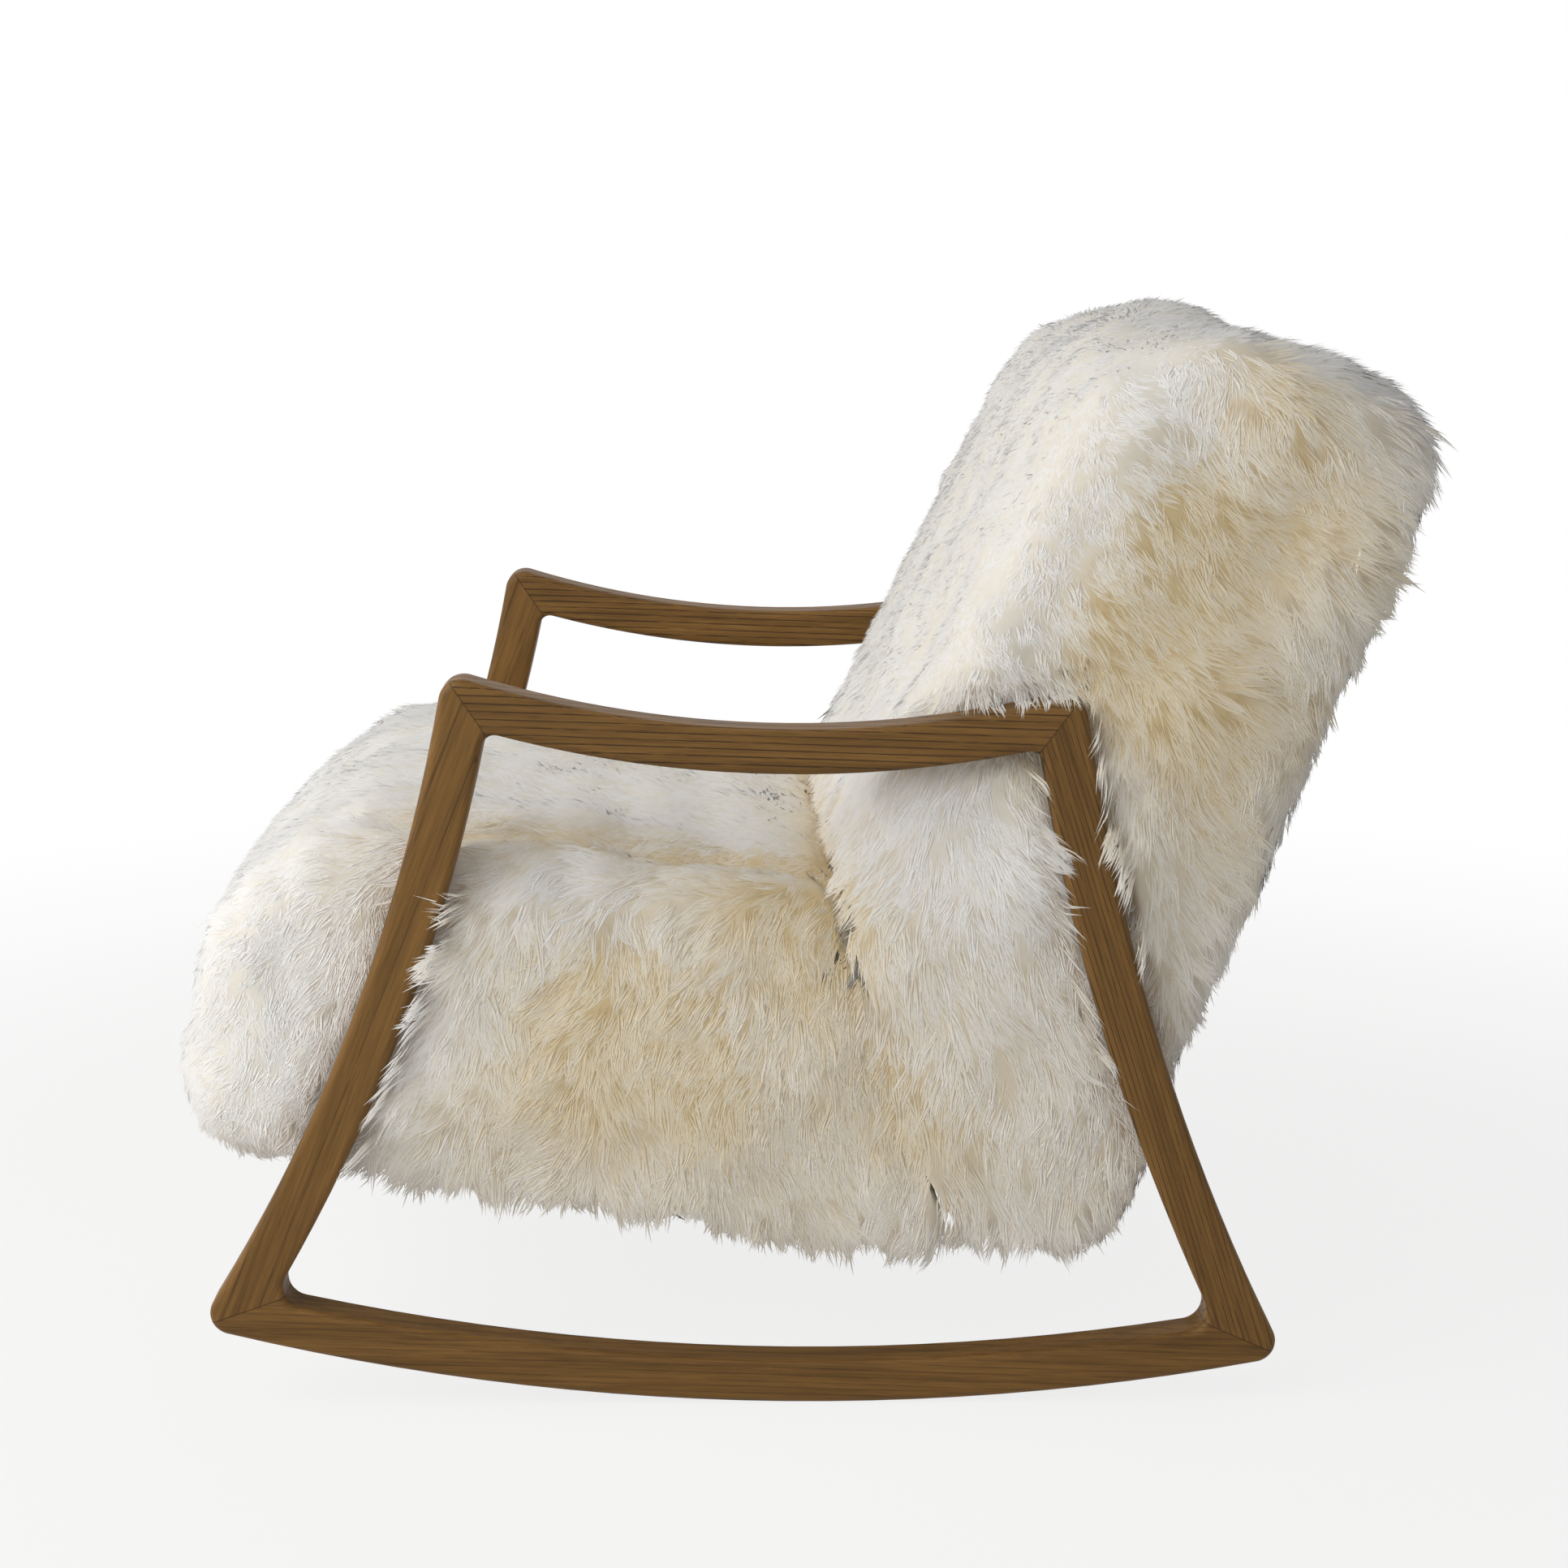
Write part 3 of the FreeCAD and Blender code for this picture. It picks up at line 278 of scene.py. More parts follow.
for name, look in oakBoards.items():
    board = oakBoard(name, look)
    for side in ("left", "right"):
        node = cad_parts[f"{name}_{side}"]
        node.data.materials.clear()
        node.data.materials.append(board)
print("oak boards:", len(oakBoards))

# Hidden inner parts: two tones, grain in millimetres, scale of the grain on each axis (small draws it out),
# roughness, depth of the relief, metal
innerFinishes = {
    "Planed beech": {
        "nodes": ("seat_side_rail_left", "seat_side_rail_right", "seat_front_rail", "seat_rear_rail",
                  "seat_corner_blocks", "back_post_left", "back_post_right", "back_top_rail",
                  "back_lumbar_rail", "back_lower_rail"),
        "tones": ("#C79E70", "#DDBB91"), "grain": 3.0, "stretch": (0.06, 1, 1),
        "rough": 0.55, "relief": 0.0003},
    "Turned beech dowel": {
        "nodes": ("mitre_dowels_left", "mitre_dowels_right", "rail_dowels"),
        "tones": ("#C9A377", "#E0C29B"), "grain": 2.0, "stretch": (0.2, 1, 1),
        "rough": 0.6, "relief": 0.0002},
    "Elastic webbing": {
        "nodes": ("seat_webbing", "back_webbing"),
        "tones": ("#3A3632", "#6A645B"), "grain": 1.6, "stretch": (0.3, 1, 1),
        "rough": 0.85, "relief": 0.0006},
    "Zinc plated steel": {
        "nodes": ("mounting_bolts", "bolt_washers", "mounting_spacers"),
        "tones": ("#A9ABAC", "#C9CBCB"), "grain": 1.2, "stretch": (1, 1, 1),
        "rough": 0.33, "metal": 1.0, "relief": 0.0001},
    "Turned brass": {
        "nodes": ("threaded_inserts",),
        "tones": ("#B08D4A", "#CFAE69"), "grain": 1.0, "stretch": (0.3, 1, 1),
        "rough": 0.3, "metal": 1.0, "relief": 0.0001},
}


def grained(name, look):
    # a fine noise of the material's own grain, as colour and as relief
    material, tree = newMaterial(name)
    where = addNode(tree, "TexCoord").outputs["Object"]
    lie = addNode(tree, "VectorMath", {0: where, 1: look["stretch"]}, operation="MULTIPLY")
    grain = addNode(tree, "TexNoise", {
        "Vector": lie.outputs["Vector"], "Scale": mmScale / look["grain"],
        "Detail": look.get("detail", 3.0)}).outputs["Fac"]
    colour = addNode(tree, "ValToRGB", {"Fac": grain}, stops=(
        (0.35, look["tones"][0]), (0.65, look["tones"][1])))
    bump = addNode(tree, "Bump", {
        "Height": grain, "Strength": look.get("bump", 0.5), "Distance": look["relief"]})
    shader = addNode(tree, "BsdfPrincipled", {
        "Base Color": colour.outputs["Color"], "Roughness": look["rough"], "Metallic": look.get("metal", 0.0),
        "Normal": bump.outputs["Normal"]})
    addNode(tree, "OutputMaterial", {"Surface": shader.outputs[0]})
    return material


for name, look in innerFinishes.items():
    material = grained(name, look)
    for node in look["nodes"]:
        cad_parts[node].data.materials.clear()
        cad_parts[node].data.materials.append(material)
print("inner finishes:", len(innerFinishes))

# Sheepskin wool: washed, combed long locks, ivory at the tips and tan at the skin, matt with a soft sheen
woolLook = {
    "tips": "#FBFAF8", "middle": "#F7F4EF", "roots": "#F0E9DB",
    "tanTips": "#F4E9D2", "tanMiddle": "#E6D2AA", "tanRoots": "#C9AA72",
    "cells": 182, "rim": 0.06,  # a strand's cell of the baked picture, and the free rim in it
}
wool, tree = newMaterial("Sheepskin wool")
along = addNode(tree, "Attribute", attribute_name="alongLock").outputs["Fac"]
tint = addNode(tree, "Attribute", attribute_name="lockTint").outputs["Fac"]
ivory = addNode(tree, "ValToRGB", {"Fac": along}, stops=(
    (0.0, woolLook["roots"]), (0.42, woolLook["middle"]), (0.85, woolLook["tips"])))
tan = addNode(tree, "ValToRGB", {"Fac": along}, stops=(
    (0.0, woolLook["tanRoots"]), (0.45, woolLook["tanMiddle"]), (0.92, woolLook["tanTips"])))
# lockTint mixes in tan: the wool's own tan, and painted shade in the valley, the crease and on the flanks
blend = addNode(tree, "Mix", {
    0: tint, 6: ivory.outputs["Color"], 7: tan.outputs["Color"]}, data_type="RGBA").outputs[2]
shader = addNode(tree, "BsdfPrincipled", {
    "Base Color": blend, "Roughness": 0.8, "IOR": 1.5,
    "Specular IOR Level": 0.15, "Sheen Weight": 0.3, "Sheen Roughness": 0.5})
addNode(tree, "OutputMaterial", {"Surface": shader.outputs[0]})

# Tanned skin under the wool: matt, warm cream, hidden but for the partings
hideLook = {"curl": "#EFE9DC", "down": "#F4F0E6", "tan": "#E0C99B", "curlSize": 9, "relief": 0.002}
hide, tree = newMaterial("Tanned sheepskin")
tint = addNode(tree, "Attribute", attribute_name="lockTint").outputs["Fac"]
where = addNode(tree, "TexCoord").outputs["Object"]
curls = addNode(tree, "TexNoise", {
    "Vector": where, "Scale": mmScale / hideLook["curlSize"],
    "Detail": 4.0, "Roughness": 0.65}).outputs["Fac"]
colour = addNode(tree, "ValToRGB", {"Fac": curls}, stops=((0.3, hideLook["curl"]), (0.7, hideLook["down"])))
# lockTint brings the tan and the painted shade of the valley and the crease onto the skin as well
colour = addNode(tree, "Mix", {
    0: tint, 6: colour.outputs["Color"], 7: tone(hideLook["tan"])}, data_type="RGBA").outputs[2]
bump = addNode(tree, "Bump", {"Height": curls, "Strength": 0.2, "Distance": hideLook["relief"]})
shader = addNode(tree, "BsdfPrincipled", {
    "Base Color": colour, "Roughness": 0.9, "Normal": bump.outputs["Normal"]})
addNode(tree, "OutputMaterial", {"Surface": shader.outputs[0]})


def drawnIn(outline, amounts):
    # every side of the anticlockwise outlines moved inwards by its own amount: rows, corners, 2
    step = np.roll(outline, -1, axis=1) - outline
    normal = unit(np.stack((-step[..., 1], step[..., 0]), axis=-1))
    level = (normal * outline).sum(axis=-1) + amounts
    a, b = np.moveaxis(np.roll(normal, 1, axis=1), -1, 0)
    c, d = np.moveaxis(normal, -1, 0)
    first = np.roll(level, 1, axis=1)
    scale = a * d - b * c
    return np.stack(((first * d - level * b) / scale, (a * level - c * first) / scale), axis=-1)


def roundedOutline(outline, radii, arcSteps, sideSteps):
    # straight sides joined by tangent arcs, sampled with the same counts in every row
    before = unit(np.roll(outline, 1, axis=1) - outline)
    after = unit(np.roll(outline, -1, axis=1) - outline)
    half = np.arccos(np.clip((before * after).sum(axis=-1), -1, 1)) / 2
    centre = outline + unit(before + after) * (radii / np.sin(half))[..., None]
    leave = outline + after * (radii / np.tan(half))[..., None]
    spoke = outline + before * (radii / np.tan(half))[..., None] - centre
    quarter = np.stack((-spoke[..., 1], spoke[..., 0]), axis=-1)
    pieces = []
    for k in range(outline.shape[1]):
        turn = (np.linspace(0, 1, arcSteps[k]) * (math.pi - 2 * half[:, k])[:, None])[..., None]
        pieces.append(centre[:, None, k] + spoke[:, None, k] * np.cos(turn)
                      + quarter[:, None, k] * np.sin(turn))
        arrive = np.roll(centre + spoke, -1, axis=1)[:, k]
        share = np.linspace(0, 1, sideSteps[k] + 2)[1:-1, None]
        pieces.append(leave[:, None, k] * (1 - share) + arrive[:, None] * share)
    return np.concatenate(pieces, axis=1)


# Rows across the upholstery: middle, rounded shoulder, then the side panel drawn in to its own middle
peltRows = {"bodyHalf": 0.264, "bodySteps": 20, "shoulder": 0.050, "shoulderSteps": 9,
            "capSteps": 18, "crown": 0.010, "tighten": 0.7, "leastRadius": 0.012}
swellFall = 0.318  # half width at which the middle's swell has died away


def swellAt(x):
    # full in the middle, three quarters at half way, a fifth at the flank
    return np.clip(1 - (np.abs(x) / swellFall) ** 1.9, 0, 1)


def peltSurface(shape):
    # side view outline carried across the chair: x, swell, inset and scale change from row to row
    turn = np.linspace(0, math.pi / 2, peltRows["shoulderSteps"] + 1)[1:]
    shrink = np.cos(np.linspace(0, math.pi / 2, peltRows["capSteps"] + 1)[1:]) ** 0.8
    flatX = np.linspace(0, peltRows["bodyHalf"], peltRows["bodySteps"])
    edgeX = peltRows["bodyHalf"] + peltRows["shoulder"] * np.sin(turn)
    capX = edgeX[-1] + peltRows["crown"] * (1 - shrink ** 2)
    halfX = np.concatenate((flatX, edgeX, capX))
    inset = np.concatenate((flatX * 0, peltRows["shoulder"] * (1 - np.cos(turn)),
                            capX * 0 + peltRows["shoulder"]))
    scale = np.concatenate((flatX * 0 + 1, edgeX * 0 + 1, shrink))
    swell = swellAt(halfX)
    pile = np.array(shape["pile"])
    trim = (pile + np.roll(pile, 1)) / 2  # a corner lies between its two sides
    rowX = np.concatenate((-halfX[:0:-1], halfX))
    inset, scale, swell = (np.concatenate((row[:0:-1], row)) for row in (inset, scale, swell))
    outline = np.stack([np.stack((y + dy * swell, z + dz * swell), axis=-1)
                        for y, z, dy, dz in shape["corners"]], axis=1)
    amounts = pile + np.array(shape["draw"]) * inset[:, None]
    radii = np.array(shape["radii"]) + np.array(shape["roll"]) * swell[:, None]
    radii = np.maximum(radii - trim - peltRows["tighten"] * inset[:, None], peltRows["leastRadius"])
    rows = roundedOutline(drawnIn(outline, amounts), radii, shape["arcSteps"], shape["sideSteps"])
    heart = rows.mean(axis=1, keepdims=True)
    rows = heart + (rows - heart) * scale[:, None, None]
    return np.concatenate((np.broadcast_to(rowX[:, None, None], rows.shape[:2] + (1,)), rows), axis=-1)


def gridNormals(grid):
    # cross product of the steps along and across the grid, closed round the outline
    around = np.roll(grid, -1, axis=1) - np.roll(grid, 1, axis=1)
    across = np.gradient(grid, axis=0)
    return unit(np.cross(around, across))


def closedMesh(name, grid, material):
    # quads between the rows, and a fan to a pole in place of the end rows, which have shrunk to a point
    grid = grid[1:-1]
    rows, count = grid.shape[:2]
    poles = np.stack((grid[0].mean(axis=0), grid[-1].mean(axis=0)))
    verts = np.concatenate((grid.reshape(-1, 3), poles))
    i, j = np.meshgrid(np.arange(rows - 1), np.arange(count), indexing="ij")
    k = (j + 1) % count
    quads = np.stack((i * count + j, i * count + k, (i + 1) * count + k, (i + 1) * count + j), axis=-1)
    ring = np.arange(count)
    last = (rows - 1) * count
    low = np.stack((np.full(count, rows * count), (ring + 1) % count, ring), axis=-1)
    high = np.stack((np.full(count, rows * count + 1), last + ring, last + (ring + 1) % count), axis=-1)
    mesh = bpy.data.meshes.new(name)
    mesh.from_pydata(verts.tolist(), [], quads.reshape(-1, 4).tolist() + low.tolist() + high.tolist())
    mesh.materials.append(material)
    mesh.polygons.foreach_set("use_smooth", np.ones(len(mesh.polygons), dtype=bool))
    return placed(name, mesh)


# Corners: y, z, and how far the middle of the chair swells beyond them. Each side lies after its corner:
# pile is room for the wool, draw the share of the shoulder's inset. Each arc: radius, and roll that the swell
# adds. Lumps: height, wavelength, seed. out is the half width beside the wood
seatShape = {
    "corners": ((0.141, 0.087, 0.0, -0.005), (0.026, 0.4395, 0.0, 0.024),
                (-0.444, 0.492, -0.032, 0.046), (-0.512, 0.187, -0.024, -0.005)),
    "pile": (0.0, 0.013, 0.008, 0.019), "draw": (0.0, 1, 1, 1),
    "radii": (0.030, 0.034, 0.140, 0.078), "roll": (0, 0, 0.110, 0),
    "arcSteps": (7, 8, 26, 14), "sideSteps": (24, 50, 20, 60),
    "lumps": ((0.0035, 0.16, 11), (0.002, 0.07, 12)), "out": 0.3255, "outAtSeam": 0.014, "underLift": 0.019,
}
backShape = {
    "corners": ((0.261, 0.093, 0.012, -0.004), (0.534, 0.790, 0.012, 0.009), (0.271, 0.906, -0.020, 0.009),
                (0.0346, 0.4383, -0.0078, 0.0241), (0.147, 0.093, 0.0, -0.004)),
    "pile": (0.010, 0.007, 0.006, 0.0, 0.021), "draw": (1, 1, 1, 0.0, 1),
    "radii": (0.080, 0.070, 0.150, 0.030, 0.020), "roll": (0, 0, 0, 0, 0),
    "arcSteps": (14, 13, 24, 8, 7), "sideSteps": (70, 18, 42, 34, 12),
    "lumps": ((0.003, 0.18, 21), (0.002, 0.07, 22)), "out": 0.3265, "wingForward": 0.006,
    "dent": {"y": 0.392, "width": 0.024, "depth": 0.008},
}
valley = {"x": 0.263, "width": 0.017, "depth": 0.019}  # seam between seat top and side panel
woodShy = {"behind": 0.3005, "reach": 0.024}  # the skin keeps behind the wood and swells out beside it


def shyOfWood(grid, out):
    # half width limited to the inner face of the wood, opening to out beside it
    gap = ringGap(grid[..., 1], grid[..., 2])
    limit = woodShy["behind"] + (out - woodShy["behind"]) * smooth(0.0, woodShy["reach"], gap)
    grid[..., 0] = np.clip(grid[..., 0], -limit, limit)
    return grid


def lumps(grid, layers):
    # uneven padding: sum of soft noises
    return sum(height * softNoise(grid, wavelength, seed) for height, wavelength, seed in layers)


def bell(value, middle, width):
    # 1 at the middle, dying away over the width
    return np.exp(-((value - middle) / width) ** 2)


seatGrid = peltSurface(seatShape)
normals = gridNormals(seatGrid)
onTop = smooth(0.35, 0.75, normals[..., 2]) * smooth(-0.40, -0.30, seatGrid[..., 1])
groove = valley["depth"] * bell(np.abs(seatGrid[..., 0]), valley["x"], valley["width"]) * onTop
seatGrid = seatGrid + normals * (lumps(seatGrid, seatShape["lumps"]) - groove)[..., None]
under = smooth(0.4, 0.8, -normals[..., 2]) * smooth(0.262, 0.240, np.abs(seatGrid[..., 0]))
under = under * smooth(-0.455, -0.43, seatGrid[..., 1])
seatGrid[..., 2] += seatShape["underLift"] * under
seam = smooth(-0.045, -0.01, pastLine("seam", seatGrid[..., 1], seatGrid[..., 2]))
seatGrid = shyOfWood(seatGrid, seatShape["out"] - seatShape["outAtSeam"] * seam)
seatPelt = closedMesh("seat_pelt", seatGrid, hide)

backGrid = peltSurface(backShape)
normals = gridNormals(backGrid)
dent = backShape["dent"]
dent = dent["depth"] * bell(backGrid[..., 1], dent["y"], dent["width"]) * smooth(0.5, 0.9, normals[..., 2])
backGrid = backGrid + normals * (lumps(backGrid, backShape["lumps"]) - dent)[..., None]
wing = smooth(0.045, 0.0, pastLine("seam", backGrid[..., 1], backGrid[..., 2]))
wing = wing * smooth(0.304, 0.311, np.abs(backGrid[..., 0]))
backGrid[..., 1] -= backShape["wingForward"] * wing * smooth(0.12, 0.25, backGrid[..., 2])
backGrid = shyOfWood(backGrid, backShape["out"])
backPelt = closedMesh("back_pelt", backGrid, hide)
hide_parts("seat_sheepskin", "seat_side_sheepskin_left", "seat_side_sheepskin_right", "seat_foam")
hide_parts("back_front_sheepskin", "back_rear_sheepskin", "back_side_sheepskin_left",
            "back_side_sheepskin_right", "back_foam")
for pelt in (seatPelt, backPelt):
    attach(pelt, "root")
print("pelts:", len(seatPelt.data.polygons), len(backPelt.data.polygons))


def readSkin(piece):
    # points and smooth normals of a pelt, and the three points of every triangle
    mesh = piece.data
    mesh.calc_loop_triangles()
    points, leans = (np.empty(len(mesh.vertices) * 3) for k in range(2))
    mesh.vertices.foreach_get("co", points)
    mesh.vertices.foreach_get("normal", leans)
    index = np.empty(len(mesh.loop_triangles) * 3, dtype=np.int32)
    mesh.loop_triangles.foreach_get("vertices", index)
    return points.reshape(-1, 3), leans.reshape(-1, 3), index.reshape(-1, 3)


def towardsLegs(y, z):
    # pull of the nearest leg on the wool beside it, in the side view; the arm and the rocker don't pull
    step = 0.002
    gap = ringGap(y, z)
    slopeY = (ringGap(y + step, z) - ringGap(y - step, z)) / (2 * step)
    slopeZ = (ringGap(y, z + step) - ringGap(y, z - step)) / (2 * step)
    pull = smooth(0.028, 0.003, gap) * smooth(0.5, 0.8, np.abs(slopeY))
    return np.stack((0 * y, -slopeY * pull, -slopeZ * pull), axis=-1)


# How the wool is combed, by place: a world direction that is laid onto the skin. Points p, normals n
def combSeat(p, n):
    # sides: down and forwards, straighter at the hem, and straight forwards along the upper ridge
    y, z = p[:, 1], p[:, 2]
    side = smooth(0.45, 0.8, np.abs(n[:, 0]))
    below = smooth(-0.1, -0.6, n[:, 2])
    lean = -0.32 - 0.30 * smooth(-0.22, -0.32, y) - 0.18 * smooth(0.0, 0.10, y) + 0.3 * smooth(0.26, 0.18, z)
    ridge = smooth(0.405, 0.445, z) * smooth(-0.40, -0.34, y)
    sideway = np.stack((0 * y, lean - 2.4 * ridge, -1 + 0.75 * ridge), axis=-1)
    topway = np.stack((0 * y, -0.75 + 1.4 * below, -1 + 0 * y), axis=-1)
    return sideway * side[:, None] + topway * (1 - side[:, None])


def combBack(p, n):
    # sides: down, rearwards high up, forwards on the wing beside the seat; over the crest to the rear
    y, z = p[:, 1], p[:, 2]
    side = smooth(0.40, 0.85, np.abs(n[:, 0]))
    crest = smooth(-0.45, 0.1, n[:, 1]) * smooth(0.25, 0.65, n[:, 2])
    high = smooth(0.50, 0.66, z)
    front = smooth(0.12, 0.0, pastLine("backFront", y, z))
    wing = front * smooth(0.62, 0.55, z) * smooth(0.22, 0.32, z)
    rear = smooth(0.09, 0.02, -pastLine("rearEdge", y, z))
    back = 0.75 * high * (1 - 0.8 * front) * (1 - 0.8 * rear)
    sideway = np.stack((0 * y, 0.10 + back - 0.55 * wing, -1 + 0 * y), axis=-1)
    restway = np.stack((0 * y, 1.6 * crest, -1 + 0.4 * crest), axis=-1)
    return sideway * side[:, None] + restway * (1 - side[:, None])


# Patches of the fleece in the side view: y, z, radius, strength; the tan is partly the wool's own and partly
# painted shade, and negative strengths are painted light on the wing and the seat's side
tanShadeAndLightPatches = ((-0.178, 0.315, 0.085, 0.9), (-0.062, 0.300, 0.11, 0.75), (0.03, 0.395, 0.07, 0.5),
              (0.353, 0.735, 0.085, 0.85), (0.275, 0.650, 0.085, 0.95), (0.245, 0.575, 0.07, 0.7),
              (0.33, 0.56, 0.10, 0.5), (0.10, 0.25, 0.08, 0.35),
              (0.13, 0.46, 0.08, -0.5), (-0.16, 0.425, 0.06, -0.5), (-0.29, 0.33, 0.06, -0.5))


def plushShare(p):
    # front strip of the back's sides above the arm, where the wool is short and white
    return smooth(0.14, 0.05, pastLine("backFront", p[:, 1], p[:, 2])) * smooth(0.52, 0.60, p[:, 2])


def tanAndShadeShare(p, n):
    # how tan a lock is: patches on the sides, painted shade as tan in the valley and in the crease below the
    # back, clouds elsewhere
    y, z = p[:, 1], p[:, 2]
    side = smooth(0.35, 0.75, np.abs(n[:, 0])) * smooth(-0.42, -0.28, y) * (1 - 0.85 * plushShare(p))
    onSeat = smooth(0.5, 0.8, n[:, 2]) * smooth(0.54, 0.48, z)
    # painted shade: tan darkening along the valley beside the side panel and in the crease under the back,
    # where the fleece lies in shade
    valleyShade = bell(np.abs(p[:, 0]), valley["x"], 0.020) * onSeat * smooth(-0.36, -0.28, y)
    creaseShade = bell(pastLine("seam", y, z), 0, 0.022) * smooth(0.38, 0.42, z) * smooth(0.52, 0.47, z)
    patch = np.zeros(len(p))
    for patchY, patchZ, radius, strength in tanShadeAndLightPatches:
        patch += strength * np.exp(-((y - patchY) ** 2 + (z - patchZ) ** 2) / radius ** 2)
    clouds = 0.5 + 0.5 * softNoise(p, 0.13, 31)
    # every flank starts from a share of tan: partly the wool's own tan, partly painted shade on the sides
    # turned from the light
    patched = side * (0.30 + patch * (0.55 + 0.6 * clouds))
    return np.clip(patched + 0.07 * clouds + 0.8 * valleyShade + 0.6 * creaseShade, 0, 1)


# Wool by region: which part of the skin, clumps of strands, rings of a strand, length, lay (degrees from the
# skin's normal at root and tip), half width, strands in a clump, how far a clump spreads, how much it gathers
# at its tip, how it swings, how flat a strand is, share of the skin's normal in its shading, tint's spread
plush = {"rings": 1, "width": 0.0011, "strands": 9, "spread": 0.0090, "gather": 0.2, "swing": 0.5,
         "flat": 0.2, "skinShare": 0.9, "fleck": 0.05}
coat = {"clumps": 2450, "rings": 1, "length": 0.036, "lay": (58, 88), "width": 0.0009, "strands": 10,
        "spread": 0.0085, "gather": 0.5, "swing": 1.0, "flat": 0.3, "skinShare": 0.6, "fleck": 0.12}
locks = {"clumps": 1150, "rings": 2, "length": 0.042, "lay": (52, 88), "width": 0.0009, "strands": 7,
         "spread": 0.0060, "gather": 0.7, "swing": 1.0, "flat": 0.35, "skinShare": 0.5, "fleck": 0.12}


def sideRegions(part):
    # both flanks: a coat, and longer locks over it
    return {f"{part}_side_{kind}_{side}": {**look, "pick": side}
            for kind, look in (("wool", coat), ("locks", locks)) for side in ("left", "right")}


seatRegions = {
    "seat_front_wool": {**plush, "pick": "front", "clumps": 3650, "length": 0.032, "lay": (62, 85)},
    "seat_top_wool": {**plush, "pick": "top", "clumps": 3650, "length": 0.018, "lay": (58, 84)},
    "seat_under_wool": {**plush, "pick": "under", "clumps": 300, "length": 0.020, "lay": (45, 75)},
    **sideRegions("seat"),
}
backRegions = {
    "back_front_wool": {**plush, "pick": "front", "clumps": 3650, "length": 0.019, "lay": (56, 84)},
    "back_crest_wool": {**plush, "pick": "top", "clumps": 1900, "length": 0.022, "lay": (56, 84)},
    "back_rear_wool": {**plush, "pick": "rear", "clumps": 2800, "length": 0.027, "lay": (56, 84),
                       "swing": 0.8, "width": 0.0013},
    **sideRegions("back"),
}
# overWood: reach over the wood's edge. overShare: tufts that do. above, behind: clearance of its two faces
strandForm = {"steps": 12, "curl": 0.0022, "curlTurns": 0.85, "stray": 0.0016, "roll": 0.2,
              "overWood": 0.010, "overShare": 0.55, "above": 0.0015, "behind": 0.0022}


def regionOf(spot, way, seat):
    # name of the region of every triangle, from its middle and its outward direction; bare skin is covered
    x, y, z = spot.T
    outX, outY, outZ = way.T
    side = np.abs(outX) > 0.58
    place = np.full(len(spot), "rear", dtype=object)
    if seat:
        place[:] = "top"
        place[(y < -0.40) | (outY < -0.6)] = "front"
        place[outZ < -0.45] = "under"
        buried = (outY > 0.6) & (z < 0.390)
        dusty = (outZ < -0.3) & (np.abs(x) < 0.262) & (y > -0.45)
    else:
        place[outY < -0.25] = "front"
        place[outZ > 0.72] = "top"
        place[outZ < -0.6] = "under"
        buried = (outY < -0.6) & (z < 0.390)
        dusty = (outZ < -0.6) & (np.abs(x) < 0.25)
    place[side & (x > 0)] = "left"
    place[side & (x < 0)] = "right"
    place[(buried & ~side) | dusty] = "bare"
    return place


def passWood(path, count, spill, draw):
    # tufts rooted in the frame's opening, or by the arm's rear end, lie over the wood; others stay behind it
    clumps = len(path) // count
    root = path[:, :1].copy()
    y, z = root[:, 0, 1], root[:, 0, 2]
    gap = ringGap(path[..., 1], path[..., 2])
    reach = np.repeat(draw.uniform(0.1, 1.3, clumps), count) * draw.uniform(0.6, 1.4, len(path))
    reach = reach * strandForm["overWood"]
    spare = np.where(gap[:, 0] > 0, (gap[:, 0] + reach) / np.maximum(gap[:, 0] - gap.min(axis=1), 1e-6), 1)
    path = root + (path - root) * np.clip(spare, 0.25, 1)[:, None, None]
    gap = ringGap(path[..., 1], path[..., 2])
    half = np.abs(path[..., 0])
    behindLeg = (pastLine("rearLeg", y, z) > 0) & (z < 0.38)
    beforeLeg = pastLine("frontLeg", y, z) < 0.02
    beforeTuft = (z > 0.55) & (y < 0.125)
    over = (gap.min(axis=1) < 0.003) & (gap[:, 0] > 0.001) & (half[:, 0] > 0.311)
    over = (over & np.repeat(spill, count) & ~behindLeg & ~beforeLeg & ~beforeTuft)[:, None]
    floor = frameSizes["outerFace"] + strandForm["above"] - 1.2 * np.maximum(gap - 0.002, 0)
    lifted = np.where(over & (gap < 0.03), np.maximum(half, floor), half)
    ceiling = frameSizes["innerFace"] - strandForm["behind"]
    tucked = np.where((gap < 0.003) & ~over, np.minimum(half, ceiling), lifted)
    tucked[:, 0] = half[:, 0]
    path[..., 0] = np.sign(root[..., 0]) * tucked
    return path


def turnPair(first, second, angle):
    # two square directions turned in their own plane
    return first * np.cos(angle) + second * np.sin(angle), second * np.cos(angle) - first * np.sin(angle)


